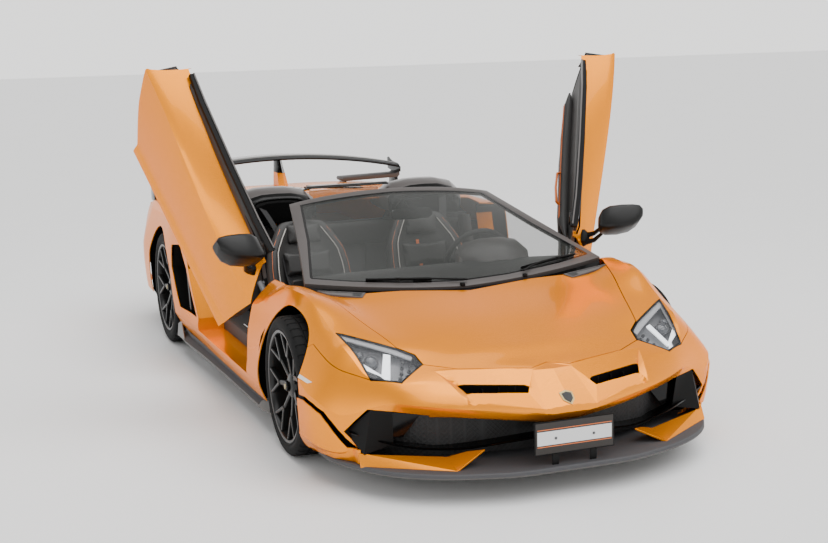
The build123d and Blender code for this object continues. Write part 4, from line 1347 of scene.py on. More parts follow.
def splitter_blade():
    """Carbon splitter with a pale strip painted along its edge as its highlight."""
    splitter = Piece("splitter_blade")
    outline = [(p.x, p.y) for p in along_curve([(x, y, 0) for x, y in SPLITTER], 41)]
    outer = whole_plan(outline)
    edge, top, rim = (grown(outer, inset) for inset in (-3, -0.4, -6))
    # pale rim painted as the edge's highlight
    splitter.add(loft([[(x, y, 113) for x, y in edge], [(x, y, 119) for x, y in outer]]),
                 painted_edge_highlight())
    splitter.add(loft([[(x, y, 119) for x, y in top], [(x, y, 131) for x, y in top],
                       [(x, y, 135.7) for x, y in rim]]), carbon())
    splitter.done("chassis", "front_splitter", sharp=25)


def corner_winglets():
    """Winglets and side markers at the front corners."""
    flicks = Piece("corner_winglets")
    flicks.add(fan([(1690, 975, 190), (1684, 984, 160), (1790, 968, 134), (1830, 945, 134),
                    (1700, 940, 134)], 6, (0, -1, -0.2)), grey_black())
    flicks.add(fan([(x, side_reach(x, z) + 1.5, z) for x, z in ((1738, 473), (1846, 459), (1820, 450),
                                                                (1738, 461))], 3, (0, -1, 0)),
               finish("side marker", (0.75, 0.72, 0.68), 0.25))
    flicks.done("chassis", both=True)


def nose_shield():
    """Blank shield on the nose."""
    shield = Piece("nose_shield")
    metal = finish("shield metal", (0.42, 0.33, 0.16), 0.35, 0.8)
    for share, lift, depth, material in ((1, 4, 6, metal), (0.74, 5, 3, gloss_black())):
        plan = [(2378 + dx * share, y * share) for dx, y in ((-27, -31), (-33, 0), (-27, 31), (8, 27),
                                                             (35, 0), (8, -27))]
        shield.add(fan([(x, y, 457 - (x - 2300) * 0.68 - 0.146 * abs(y) + lift) for x, y in plan],
                       depth, (-0.56, 0, -0.82)), material)
    shield.done("chassis")


def number_plate():
    """Plain number plate on its bracket."""
    badge = Piece("plate_holder")
    badge.add(block(2430, 2434, -190, 190, 183, 328, 1.5), satin_black())
    badge.add(block(2434, 2436.5, -184, 184, 188, 323, 1), plate_face())
    badge.add(block(2436.4, 2437.2, -176, 176, 226, 286), plate_band())
    for z in (218, 292):
        badge.add(block(2436.4, 2437, -176, 176, z, z + 3), caliper_paint())
    for y in (-90, 90):
        badge.add(block(2430, 2434, y - 15, y + 15, 137, 186), satin_black())
        badge.add(disc(6, 3, (2438, y, 253), "X", 24, soft=0.6), disc_steel())
    badge.done("chassis", "plate_bracket")


class SUPERCAR_OT_front_trim(bpy.types.Operator):
    """Build the intakes, blades, splitter, number plate and nose trim"""
    bl_idname = "supercar.front_trim"
    bl_label = "Front trim"

    def execute(self, context):
        for build in (nose_slots, corner_fins, intake_pockets, front_mesh, splitter_blade,
                      corner_winglets, nose_shield, number_plate):
            build()
        return {"FINISHED"}


# ---- windscreen ----------------------------------------------------------------------
SCREEN_ROWS = [((1288, 0, 708), (1256, 400, 730), (1180, 800, 772)),
               ((760, 0, 905), (748, 360, 893), (700, 690, 905)),
               ((205, 0, 1087), (205, 320, 1072), (208, 590, 1034))]
GLASS_PLAN = [(1242, 0), (1228, 250), (1180, 560), (1134, 752), (1116, 754), (700, 640), (251, 542),
              (251, 0)]
# pivot of each wiper, and its arm as points across and up the screen
WIPERS = [((1282, -20, 716), [(0.02, 0.03), (-0.2, 0.055), (-0.42, 0.06), (-0.62, 0.052)]),
          ((1262, 330, 728), [(0.42, 0.03), (0.55, 0.07), (0.72, 0.078), (0.86, 0.07)])]


def screen_point(across, up):
    """Point of the windscreen's outer surface, across from -1 to 1 and up from 0 to 1."""
    side = abs(across)
    found = []
    for row in SCREEN_ROWS:
        a, b, c = (Vector(p) for p in row)
        bulge = a * (side - 1) * (side * 2 - 1) + b * 4 * side * (1 - side) + c * side * (side * 2 - 1)
        found.append(bulge)
    a, b, c = found
    point = a * (up - 1) * (up * 2 - 1) + b * 4 * up * (1 - up) + c * up * (up * 2 - 1)
    return Vector((point.x, point.y if across >= 0 else -point.y, point.z))


def screen_skin():
    rings = [[screen_point(-1 + k / 12, up / 20) for k in range(25)] for up in range(21)]
    bm = loft(rings, closed=False, caps=False)
    if sum(f.normal.z for f in bm.faces) < 0:
        bmesh.ops.reverse_faces(bm, faces=bm.faces)
    return bm


def screen_part(name, keep, remove, material, thickness, lift=0.0):
    bm = screen_skin()
    if keep:
        trim(bm, keep, "xy", True, BOTH_SIDES)
    if remove:
        trim(bm, remove, "xy", False, BOTH_SIDES)
    if lift:
        bmesh.ops.translate(bm, verts=bm.verts, vec=(0, 0, lift * MM))
    obj = to_object(name, bm, material, 30)
    solidify(obj, thickness)
    shade(obj, 30)
    return obj


def screen_glass():
    """Glass, its surround and its black border."""
    glass = screen_part("windscreen_glass", grown(whole_plan(GLASS_PLAN), -1), None, clear_glass(),
                        0.005, -2)
    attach(glass, "chassis")
    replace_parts(glass, "windscreen")
    surround = screen_part("screen_surround", None, whole_plan(GLASS_PLAN), screen_trim(), 0.024)
    bevel(surround, 0.003, 3, 50)
    shade(surround, 30)
    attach(surround, "chassis")
    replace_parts(surround, "windscreen_frame")
    band = screen_part("screen_black_border", whole_plan(GLASS_PLAN),
                       grown(whole_plan(GLASS_PLAN), -13), gloss_black(), 0.002, -0.8)
    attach(band, "chassis")


def cowl_panel():
    """Trough between the hood and the screen."""
    cowl = Piece("cowl_panel")
    count = 13
    hood_edge = along_curve([(1325, 0, 690), (1300, 300, 697), (1288, 560, 712), (1288, 785, 752)],
                            count)
    foot = [screen_point(k / (count - 1), 0.02) for k in range(count)]
    rings = []
    for p, q in zip(hood_edge, foot):
        top = [(p.x + 15, p.y, 674), (max(1258, q.x + 10), p.y, 697.5),
               (max(1212, q.x + 6), q.y, 699), (q.x + 3, q.y, q.z - 8)]
        rings.append(top + [(x - 1.5, y, z - 3) for x, y, z in reversed(top)])
    cowl.add(loft(rings), satin_black())
    cowl.done("chassis", both=True, sharp=40)


def wiper_arms():
    """Two wipers lying at the screen's foot."""
    wipers = Piece("wiper_arms")
    for pivot, points in WIPERS:
        path = [screen_point(a, u) + Vector((4, 0, 14)) for a, u in points]
        wipers.add(tube(along_curve(path, 9), 5, 8), satin_black())
        blade = [(points[1][0] - 0.12, points[1][1])] + [(a, u + 0.012) for a, u in points[1:]]
        blade = along_curve([screen_point(a, u) + Vector((2, 0, 7)) for a, u in blade], 13)
        rings = [[(p.x - 7, p.y, p.z - 6), (p.x + 7, p.y, p.z - 7), (p.x + 6, p.y, p.z),
                  (p.x, p.y, p.z + 6), (p.x - 6, p.y, p.z)] for p in blade]
        wipers.add(loft(rings), matte_black())
        wipers.add(disc(13, 18, pivot, "Z", 24, soft=2), satin_black())
        wipers.add(disc(9, 16, tuple(path[-2]), "Z", 16, soft=2), satin_black())
    wipers.done("chassis", sharp=40)


def hood_vents():
    """Vents in the hood's rear corners."""
    vents = Piece("hood_vents")
    vents.add(fan(on_skin([(1293, 774), (1306, 722), (1334, 560), (1293, 530)], 5), 8), screen_trim())
    vents.add(fan(on_skin([(1296, 760), (1302, 718), (1326, 568), (1296, 546)], 6.5), 2),
              mesh_black())
    vents.done("hood", both=True)


def rear_view_mirror():
    """Mirror on its stalk inside the screen."""
    rear_view = Piece("rear_view_mirror")
    top = screen_point(0.14, 0.93)
    rear_view.add(loft([[(top.x + 30, 85 - wide, z), (top.x + 30, 85 + wide, z),
                         (top.x + 56, 85 + wide, z - 6),
                         (top.x + 56, 85 - wide, z - 6)] for wide, z in ((52, 1038), (40, 1010),
                                                                         (16, 975))]), satin_black())
    rear_view.add(round_bar([(325, y, 950) for y in (-38, -20, 80, 182, 200)], 22,
                            [30, 58, 66, 58, 30], count=16), satin_black())
    rear_view.add(block(312, 314, -28, 190, 926, 974, 0.8), mirror_glass())
    rear_view.done("chassis", sharp=40)


class SUPERCAR_OT_windscreen(bpy.types.Operator):
    """Build the windscreen, its frame, the wipers and the cowl"""
    bl_idname = "supercar.windscreen"
    bl_label = "Windscreen"

    def execute(self, context):
        for build in (screen_glass, cowl_panel, wiper_arms, hood_vents, rear_view_mirror):
            build()
        return {"FINISHED"}


# ---- doors and mirrors ---------------------------------------------------------------
def oval_ring(x0, x1, y, z0, z1, power=0.55, count=20):
    """Squared oval in a plane of constant y."""
    ring = []
    for k in range(count):
        c, d = math.cos(math.tau * k / count), math.sin(math.tau * k / count)
        ring.append(((x0 + x1) / 2 + (x1 - x0) / 2 * math.copysign(abs(c) ** power, c), y,
                     (z0 + z1) / 2 + (z1 - z0) / 2 * math.copysign(abs(d) ** power, d)))
    return ring


def round_bar(path, wide, deep, up=(0, 0, 1), count=12, power=0.7):
    """Bar of squared oval section along points in mm; wide and deep are numbers or one per point."""
    points = [Vector(p) for p in path]
    rings = []
    for i, point in enumerate(points):
        way = (points[min(i + 1, len(points) - 1)] - points[max(i - 1, 0)]).normalized()
        side = way.cross(Vector(up)).normalized()
        lift = side.cross(way)
        w = wide[i] if isinstance(wide, (list, tuple)) else wide
        d = deep[i] if isinstance(deep, (list, tuple)) else deep
        ring = []
        for k in range(count):
            a, b = math.cos(math.tau * k / count), math.sin(math.tau * k / count)
            ring.append(point + side * w / 2 * math.copysign(abs(a) ** power, a)
                        + lift * d / 2 * math.copysign(abs(b) ** power, b))
        rings.append(ring)
    return loft(rings)


def both_doors(piece, *nodes):
    """Finishes a piece made on the shut left door: opens it and mirrors it for the right door."""
    obj = piece.done("door_left", *nodes, sharp=35)
    swing_open(obj)
    twin = mirrored(obj, piece.name.replace("_left", "_right"), "door_right")
    for node in nodes:
        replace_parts(twin, node.replace("_left", "_right"))
    return obj


def belt_height(x):
    return 800 + (600 - x) * 86 / 1028


def side_reach(x, z):
    """How far out the body skin is at a side-view point, in mm."""
    ring = body_section(x)
    reach = 0
    for (ya, za), (yb, zb) in zip(ring, ring[1:]):
        if min(za, zb) <= z <= max(za, zb) and za != zb:
            reach = max(reach, ya + (yb - ya) * (z - za) / (zb - za))
    return reach


def fill_inwards(obj, inset, wall_y, material):
    """Turns a cut skin into the solid body behind it, up to a wall at y."""
    with editing(obj) as bm:
        bm.normal_update()
        for v in bm.verts:
            v.co -= v.normal * inset
        rim = [e for e in bm.edges if e.is_boundary]
        new = bmesh.ops.extrude_edge_only(bm, edges=rim)["geom"]
        for v in new:
            if isinstance(v, bmesh.types.BMVert):
                v.co.y = wall_y
        bmesh.ops.edgeloop_fill(bm, edges=[e for e in bm.edges if e.is_boundary])
        bmesh.ops.triangulate(bm, faces=[f for f in bm.faces if len(f.verts) > 4])
        bmesh.ops.recalc_face_normals(bm, faces=bm.faces)
    obj.data.materials.clear()
    obj.data.materials.append(material)
    shade(obj, 30)


def door_cores():
    """Inner body of the doors behind their skins."""
    leather = cabin_leather()
    skin = body_skin()
    core = cut_panel(skin, "door_core_left", (grown(DOOR_SIDE, -15), "xz", 822), wall=False)
    bpy.data.objects.remove(skin)
    fill_inwards(core, 0.009, 0.862, leather)
    swing_open(core)
    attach(core, "door_left")
    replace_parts(core, "door_trim_left")
    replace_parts(mirrored(core, "door_core_right", "door_right"), "door_trim_right")


def door_linings():
    """Padded lining with armrest, speaker, handle and stitching."""
    leather, black = cabin_leather(), satin_black()
    lining = Piece("door_lining_left")
    lining.add(round_bar([(x, 848, belt_height(x) - 34 + d)
                          for x, d in ((-400, -10), (-330, 0), (0, 4), (300, 2),
                                       (520, -6), (590, -16))],
                         [16, 40, 46, 46, 36, 14], [30, 66, 72, 70, 60, 30], count=16), leather)
    lining.add(round_bar([(x, 838, z) for x, z in ((-380, 560), (-300, 548), (-100, 520), (200, 500),
                                                   (430, 505), (560, 560))], [10, 56, 70, 72, 60, 10],
                         [30, 60, 76, 74, 64, 24], count=16), leather)
    lining.add(fan([(-360, 864, 420), (-400, 864, 640), (-380, 864, 760), (540, 864, 700),
                    (690, 864, 600), (700, 864, 420), (640, 864, 344),
                    (-300, 864, 344)], 9, (0, -1, 0)), leather)
    lining.add(round_bar([(-330, 848, 392), (0, 844, 388), (350, 844, 390), (620, 848, 404)],
                         [10, 34, 34, 10], [40, 80, 80, 40], count=16), black)
    lining.add(turned([(0, -3), (70, -3), (84, 0), (88, 6), (88, 12), (0, 12)], 48), black,
               placed(590, 858, 430, 180, "Z"))
    lining.add(turned([(0, -7), (62, -5), (68, 0), (68, 4)], 48), mesh_black(),
               placed(590, 855, 430))
    for dz in (-2, 36):
        lining.add(tube(along_curve([(x, 800 + 2 * abs(dz - 17) / 10, z + 18 + dz / 2)
                                     for x, z in ((-290, 548), (-100, 520), (200, 500), (420, 505))],
                                    21), 1.6, 6), caliper_paint())
    lining.add(round_bar([(140, 800, 535), (150, 782, 545), (240, 776, 545), (330, 782, 545),
                          (340, 800, 535)], 14, 22, count=10), caliper_paint())
    lining.add(block(430, 500, 840, 852, 610, 650, 6, 3), gloss_black())
    both_doors(lining)


def door_seals():
    """Seals round the doors and along their belt lines."""
    black = satin_black()
    seal = Piece("door_seal_left")
    edge = grown(DOOR_SIDE, -24)
    seal.add(tube([(x, 864, z) for x, z in edge + edge[:2]], 5, 8), matte_black())
    seal.add(round_bar([(x, y, belt_height(x) + 3)
                        for x, y in ((-408, 838), (-250, 846), (100, 846), (420, 838),
                                     (600, 826))],
                       [28, 38, 42, 44, 40], 26, count=8, power=0.35), black)
    seal.add(round_bar([(x, y, belt_height(x) + 13)
                        for x, y in ((-408, 828), (-250, 834), (100, 834), (420, 828),
                                     (590, 816))], 9, 16, count=8, power=0.35), grey_black())
    seal.add(fan([(548, 836, 800), (606, 838, 708), (684, 842, 664), (600, 842, 680),
                  (520, 840, 790)], 18, (0, 1, 0)), grey_black())
    both_doors(seal)


def hinge_arms():
    """Hinge arm and gas strut of each door."""
    arm = Piece("door_hinge_arm_left")
    arm.add(round_bar([(640, 880, 640), (700, 880, 640), (742, 880, 638), (758, 880, 640)],
                      [40, 40, 36, 28], 24, count=12), disc_steel())
    arm.add(tube([(560, 850, 560), (690, 838, 600)], 9, 12), disc_steel())
    both_doors(arm)


def door_mirrors():
    """Outside mirrors on their twin stalks."""
    mirror = Piece("mirror_shell_left")
    sections = [(572, 634, 940, 886, 926), (540, 655, 952, 866, 950), (520, 664, 985, 850, 970),
                (507, 652, 1050, 845, 981), (499, 630, 1110, 850, 984), (499, 600, 1148, 864, 980),
                (514, 566, 1168, 892, 966)]
    shell = finish("mirror shell", (0.006, 0.006, 0.006), 0.35, Specular_IOR_Level=0.25)
    mirror.add(loft([oval_ring(*row, power=0.42) for row in sections]), shell)
    rows = [(513, 1010, 886, 944), (506, 1050, 878, 950), (498, 1105, 880, 952),
            (498, 1130, 894, 944)]
    mirror.add(loft([oval_ring(x, x + 6, y, z0, z1, 0.5) for x, y, z0, z1 in rows]),
               mirror_glass())
    for x0, x1 in ((632, 612), (590, 574)):
        mirror.add(round_bar([(x0, 925, 694), (x0 - 4, 962, 720), (x1, 992, 800),
                              (x1 - 4, 1005, 870)],
                             [26, 22, 18, 20], [30, 24, 16, 20], (1, 0, 0)), satin_black())
    mirror.add(round_bar([(650, 905, 676), (630, 915, 686), (590, 915, 690), (560, 905, 694)],
                         [20, 60, 60, 20], [20, 40, 40, 20], count=12), satin_black())
    both_doors(mirror, "mirror_left")


class SUPERCAR_OT_doors(bpy.types.Operator):
    """Build the inside of the doors and the mirrors"""
    bl_idname = "supercar.doors"
    bl_label = "Doors and mirrors"

    def execute(self, context):
        for build in (door_cores, door_linings, door_seals, hinge_arms, door_mirrors):
            build()
        return {"FINISHED"}


# ---- cabin ---------------------------------------------------------------------------
SEAT_Y = 370
WHEEL_HUB = Vector((560, SEAT_Y, 700)) * MM
WHEEL_RAKE = math.radians(-68)
# each row of the seat: x, z, half width, rise of the bolsters, depth behind
SEAT_ROWS = [(402, 268, 205, 12, 8), (392, 300, 225, 22, 26), (330, 312, 236, 34, 44),
             (200, 296, 240, 46, 60), (60, 268, 242, 52, 66), (-50, 246, 240, 52, 66),
             (-104, 262, 236, 50, 66), (-132, 330, 240, 60, 72), (-168, 450, 250, 74, 84),
             (-216, 580, 252, 72, 88), (-262, 690, 236, 56, 76), (-296, 772, 190, 34, 56),
             (-322, 838, 150, 20, 40), (-338, 866, 118, 4, 16)]


def seat_frames():
    """Point, direction along and direction out of the seat for each row of the seat's side view."""
    points = [Vector((x, 0, z)) for x, z, *_ in SEAT_ROWS]
    frames = []
    for i, point in enumerate(points):
        way = (points[min(i + 1, len(points) - 1)] - points[max(i - 1, 0)]).normalized()
        frames.append((point, way, Vector((way.z, 0, -way.x))))
    return frames


def seat_shell():
    rings = []
    for (point, _, out), (*_, half, rise, back) in zip(seat_frames(), SEAT_ROWS):
        out = out if out.z > 0 or out.x > 0 else -out
        ring = []
        for y, n in ((-half, -back * 0.55), (-half - 6, rise * 0.4), (-half + 14, rise),
                     (-half + 52, rise * 0.92), (-half + 92, rise * 0.15), (-half * 0.3, -4), (0, -6),
                     (half * 0.3, -4), (half - 92, rise * 0.15), (half - 52, rise * 0.92),
                     (half - 14, rise), (half + 6, rise * 0.4), (half, -back * 0.55), (half * 0.5, -back),
                     (0, -back), (-half * 0.5, -back)):
            p = point + out * n
            ring.append((p.x, SEAT_Y + y, p.z))
        rings.append(ring)
    return loft(rings)


def sewn_pad(name, width, length, depth, swell):
    """Stuffed pad lying flat about the origin, blown up as cloth and flattened below."""
    bm = block(-length / 2, length / 2, -width / 2, width / 2, -depth / 2, depth / 2, depth * 0.3, 3)
    obj = to_object(name, bm, cabin_leather(), 60)
    tool = obj.modifiers.new("even", "REMESH")
    tool.mode = "VOXEL"
    tool.voxel_size = 0.006
    bake(obj)
    rest = [v.co.copy() for v in obj.data.vertices]
    cloth = obj.modifiers.new("stuffing", "CLOTH")
    cloth.settings.use_pressure = True
    cloth.settings.uniform_pressure_force = 4.0
    cloth.settings.effector_weights.gravity = 0
    cloth.settings.quality = 5
    cloth.point_cache.frame_start, cloth.point_cache.frame_end = 1, 20
    for number in range(1, 21):
        bpy.context.scene.frame_set(number)
    bake(obj)
    bpy.context.scene.frame_set(1)
    for vertex, before in zip(obj.data.vertices, rest):
        moved = vertex.co - before
        if moved.length > swell * MM:
            vertex.co = before + moved.normalized() * swell * MM
        vertex.co.z = max(vertex.co.z, -depth / 2 * MM)
    return obj


def seat_point(run, y):
    """Place and turn on the seat face at a run from 0 to 1 along its rows."""
    frames = seat_frames()
    t = run * (len(frames) - 1)
    i = min(int(t), len(frames) - 2)
    t -= i
    point = frames[i][0].lerp(frames[i + 1][0], t)
    way = frames[i][1].lerp(frames[i + 1][1], t).normalized()
    out = Vector((way.z, 0, -way.x))
    out = out if out.z > 0 or out.x > 0 else -out
    return Vector((point.x, SEAT_Y + y, point.z)), way, out


def seat_shells():
    """Seat bodies, made as padded pieces."""
    shell = Piece("seat_shell_left")
    shell.add(seat_shell(), cabin_leather())
    shell = shell.done("chassis", "seats", sharp=180)
    subdivide(shell, 2)
    mirrored(shell, "seat_shell_right", "chassis")


def seat_pads():
    """Sewn pads laid on the seats."""
    for name, run, width, length, depth in (("thigh_pad", 0.18, 300, 200, 44),
                                            ("seat_pad", 0.34, 290, 150, 40),
                                            ("lumbar_pad", 0.60, 300, 170, 40),
                                            ("back_pad", 0.72, 300, 150, 40),
                                            ("head_pad", 0.865, 200, 110, 34)):
        pad = sewn_pad(name + "_left", width, length, depth, 12)
        place, way, out = seat_point(run, 0)
        turn = Matrix((way, out.cross(way), out)).transposed().to_4x4()
        pad.data.transform(Matrix.Translation((place + out * 6) * MM) @ turn)
        subdivide(pad, 1)
        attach(pad, "chassis")
        mirrored(pad, name + "_right", "chassis")


def seat_piping():
    """Pale piping and stitching along the bolsters."""
    sewing = Piece("seat_piping")
    pale = finish("pale piping", (0.55, 0.52, 0.48), 0.6)
    for side in (-1, 1):
        path = []
        for k in range(30):
            run = 0.1 + 0.8 * k / 29
            t = run * (len(SEAT_ROWS) - 1)
            half, rise = SEAT_ROWS[int(t)][2:4]
            after = SEAT_ROWS[min(int(t) + 1, len(SEAT_ROWS) - 1)]
            half += (after[2] - half) * (t - int(t))
            rise += (after[3] - rise) * (t - int(t))
            place, way, out = seat_point(run, side * (half - 56))
            path.append(place + out * (rise * 0.93 - 1))
        sewing.add(tube(path, 3.2, 8), pale)
        sewing.add(tube([p + Vector((0, side * 36, -1)) for p in path], 1.4, 6), caliper_paint())
    sewing.done("chassis", both=True)


def seat_belts():
    """Belts with their buckles."""
    belts = Piece("seat_belts")
    web = finish("belt webbing", (0.016, 0.016, 0.017), 0.8)
    path = along_curve([(-520, 600, 985), (-400, 560, 900), (-300, 520, 780), (-190, 500, 560),
                        (-90, 480, 380), (-20, 590, 320)], 25)
    belts.add(loft([[(p.x - 14, p.y - 18, p.z), (p.x + 14, p.y + 18, p.z),
                     (p.x + 15, p.y + 17, p.z + 2), (p.x - 13, p.y - 19, p.z + 2)] for p in path]), web)
    belts.add(block(-60, -20, 150, 185, 300, 360, 6), gloss_black())
    belts.add(block(-56, -24, 154, 181, 358, 362, 1), finish("red button", (0.5, 0.02, 0.01), 0.4))
    belts.done("chassis", both=True)


def seat_strap():
    """Coloured strap on the driver's seat."""
    strap = Piece("seat_strap")
    strap.add(round_bar([seat_point(run, -40)[0] + seat_point(run, 0)[2] * 14
                         for run in (0.62, 0.66, 0.70, 0.74,
                                     0.78)], 20, 6), caliper_paint())
    strap.done("chassis")


class SUPERCAR_OT_seats(bpy.types.Operator):
    """Build the two seats with their sewn pads, piping and belts"""
    bl_idname = "supercar.seats"
    bl_label = "Seats"

    def execute(self, context):
        for build in (seat_shells, seat_pads, seat_piping, seat_belts, seat_strap):
            build()
        return {"FINISHED"}


def dashboard():
    """Dashboard with its vents, binnacle, screen and keys."""
    leather = cabin_leather()
    dash = Piece("dash_skin")
    outline = [(1138, 600), (1138, 698), (1060, 728), (1000, 746), (880, 754), (824, 734), (782, 680),
               (764, 600), (800, 540), (880, 428), (1080, 428)]
    rings = []
    for y, push, drop in ((-788, 80, 6), (-700, 46, 2), (-520, 16, 0), (-260, 4, 0), (0, -6, 0),
                          (260, 4, 0), (520, 16, 0), (700, 46, 2), (788, 80, 6)):
        wide = abs(y) > 600
        rings.append([(min(x + (push if x < 1000 else 0), 942 if wide else 1138), y,
                       max(z - drop, 562 if wide else 0)) for x, z in outline])
    dash.add(loft(rings), leather)
    for y in (-640, -300, 300, 640):
        lean = Matrix.Rotation(math.radians(-35), 4, "X")
        dash.add(turned([(0, 3), (30, 3), (44, 0), (48, -6), (48, -14), (0, -14)], 6), gloss_black(),
                 placed(836 if abs(y) > 500 else 790, y, 640, 90, "Z") @ lean)
    hood = []
    for x, half, top in ((744, 186, 838), (766, 200, 852), (820, 200, 838), (880, 180, 800),
                         (930, 120, 756)):
        hood.append([(x, 355 - half, 700), (x, 355 - half, top - 60),
                     (x, 355 - half * 0.76, top - 18), (x, 355 - half * 0.3, top),
                     (x, 355 + half * 0.3, top), (x, 355 + half * 0.76, top - 18),
                     (x, 355 + half, top - 60), (x, 355 + half, 700)])
    dash.add(loft(hood), grey_black())
    dash.add(tube([Vector(p) + Vector((-2, 0, 2)) for p in hood[0][1:7]], 2.2, 6), caliper_paint())
    dash.add(fan([(742, 190, 715), (742, 182, 770), (743, 230, 808), (743, 480, 808), (742, 528, 770),
                  (742, 520, 715)], 3, (-1, 0, 0)), finish("screen glass", (0.01, 0.012, 0.016), 0.08,
                                                           0.0, 1.0))
    dash.add(block(772, 800, -118, 118, 560, 650, 5), gloss_black())
    for k in range(7):
        dash.add(block(758, 776, -93 + 28 * k, -71 + 28 * k, 536, 552, 3), disc_steel())
    dash.add(tube(along_curve([(x, y, 693) for x, y in ((1100, -500), (930, -460), (880, -300),
                                                        (872, 0),
                                                        (880, 200))], 25), 1.6, 6), caliper_paint())
    dash.done("chassis", "dashboard", sharp=35)


def centre_console():
    """Console between the seats."""
    leather = cabin_leather()
    console = Piece("console_skin")
    rows = [(-600, 418, 100), (-400, 414, 104), (-100, 402, 104), (120, 412, 104), (420, 444, 104),
            (600, 520, 104), (757, 598, 104)]
    rings = [[(x, -half, 331), (x, -half, top - 22), (x, -half + 18, top), (x, half - 18, top),
              (x, half, top - 22), (x, half, 331)] for x, top, half in rows]
    console.add(loft(rings), leather)
    console.add(fan([(180, -62, 426), (180, 62, 426), (560, 70, 506), (640, 60, 548), (640, -60, 548),
                     (560, -70, 506)], 6, (-0.2, 0, 1)), gloss_black())
    console.add(block(270, 350, -28, 28, 440, 462, 6),
                finish("start cover", (0.4, 0.02, 0.01), 0.4, 0.0, 0.6))
    for y in (-44, 44):
        console.add(tube([(150, y * 1.8, 418), (420, y * 1.8, 447), (600, y * 1.8, 522)], 2, 6),
                    caliper_paint())
    console.add(round_bar([(-560, 0, 424), (-420, 0, 428), (-140, 0, 414), (-60, 0, 408)],
                          [90, 150, 150, 100], [16, 34, 34, 14], count=16), leather)
    console.done("chassis", "console", sharp=35)


def cabin_lining():
    """Carpets, sill plates, rear wall and pedals."""
    leather, black = cabin_leather(), satin_black()
    carpet = finish("carpet", (0.018, 0.017, 0.017), 0.95)
    lining = Piece("cabin_lining")
    lining.add(block(-110, 940, 125, 640, 141, 152, 5), carpet)
    lining.add(fan([(1120, 130, 152), (1120, 520, 152), (1146, 520, 330), (1146, 130, 330)], 4,
                   (-1, 0, 0)), carpet)
    lining.add(block(-636, 742, 692, 852, 331, 336, 2), leather)
    lining.add(block(-40, 420, 742, 822, 336, 339, 1), black)
    lining.add(block(-36, 416, 746, 818, 338.6, 340, 0.4), plate_band())
    lining.add(block(-30, 410, 752, 812, 339.6, 341, 0.4), black)
    lining.add(block(-636, 900, 684, 691, 150, 330, 3), carpet)
    lining.add(round_bar([(-626, 0, 720), (-622, 300, 720), (-622, 560, 716), (-600, 790, 700)],
                         [60, 60, 60, 40], [150, 150, 150, 120], count=16), leather)
    lining.add(block(-639, -612, 120, 800, 160, 660, 10), carpet)
    lining.add(round_bar([(-640, 745, 380), (-560, 748, 500), (-500, 752, 640), (-520, 752, 800)],
                         [70, 90, 90, 60], [90, 130, 130, 90], (1, 0, 0), 16), leather)
    lining.add(block(936, 944, 530, 790, 160, 560, 2), carpet)
    for y, wide in ((300, 60), (400, 50)):
        lining.add(block(1060, 1074, y - wide / 2, y + wide / 2, 200, 300, 4), disc_steel())
        lining.add(block(1074, 1130, y - 6, y + 6, 240, 262, 2), black)
    lining.done("chassis", both=True, sharp=35)


def door_openings():
    """Painted jambs and black seals round the door openings."""
    jamb, seal = Piece("door_jambs"), Piece("door_opening_seals")
    path = [(768, 600), (744, 258), (-350, 258), (-354, 330), (-462, 610), (-527, 842), (-432, 894)]
    points = [((xa + (xb - xa) * k / 6), (za + (zb - za) * k / 6))
              for (xa, za), (xb, zb) in zip(path, path[1:])
              for k in range(6)] + path[-1:]
    for (xa, za), (xb, zb) in zip(points, points[1:]):
        reach = (side_reach(xa, za) - 6, side_reach(xb, zb) - 6)
        away = (za - zb, 0, xb - xa)
        strips = [(jamb, 858, reach, body_paint())]
        if xa < 0 and za >= 600:
            strips = [(seal, 835, reach, satin_black())]
            if 680 < (za + zb) / 2 < 815:
                strips = [(jamb, 835, (940, 940), body_paint()), (seal, 940, reach, satin_black())]
        for piece, inner, outer, material in strips:
            if min(outer) > inner:
                piece.add(fan([(xa, inner, za), (xb, inner, zb), (xb, outer[1], zb),
                               (xa, outer[0], za)], 3, away), material)
    jamb.done("chassis", both=True, slot="body_paint")
    seal.done("chassis", both=True)


def steering_wheel():
    """Flat-bottomed wheel on its column."""
    leather, black = cabin_leather(), satin_black()
    wheel = Piece("steering_wheel_trim")
    ring = []
    for k in range(64):
        a = math.tau * k / 64
        x, y = 183 * math.cos(a), 183 * math.sin(a)
        ring.append(Vector((max(x, -150), y, 0)))
    rings = []
    for i, p in enumerate(ring):
        way = (ring[(i + 1) % 64] - ring[i - 1]).normalized()
        side = way.cross(Vector((0, 0, 1)))
        rings.append([p + (side * math.cos(t) * 14 + Vector((0, 0, 1)) * math.sin(t) * 16)
                      for t in (math.tau * m / 12 for m in range(12))])
    wheel.add(loft(rings + rings[:1], caps=False), leather)
    wheel.add(turned([(0, 26), (44, 24), (60, 14), (64, 0), (58, -16), (30, -24), (0, -24)], 40, "Z"),
              leather)
    for angle in (90, 180, 270):
        spoke = fan([(40, -26, -6), (40, 26, -6), (120, 15, -9),
                     (176 if angle != 180 else 148, 22, -4), (176 if angle != 180 else 148, -22, -4),
                     (120, -15, -9)], 12, (0, 0, 1))
        wheel.add(spoke, gloss_black(), Matrix.Rotation(math.radians(angle), 4, "Z"))
    wheel.add(turned([(0, -26), (18, -26), (26, -40), (34, -60), (34, -200), (18, -300), (0, -300)],
                     32, "Z"), black)
    for side in (-1, 1):
        wheel.add(round_bar([(70, 70 * side, -34), (40, 120 * side, -38), (-20, 135 * side, -38)], 24,
                            5, count=10), disc_steel())
    turn = Matrix.Translation(WHEEL_HUB) @ Matrix.Rotation(WHEEL_RAKE, 4, "Y")
    wheel.done("steering_wheel", "steering_wheel", sharp=40, turn=turn)


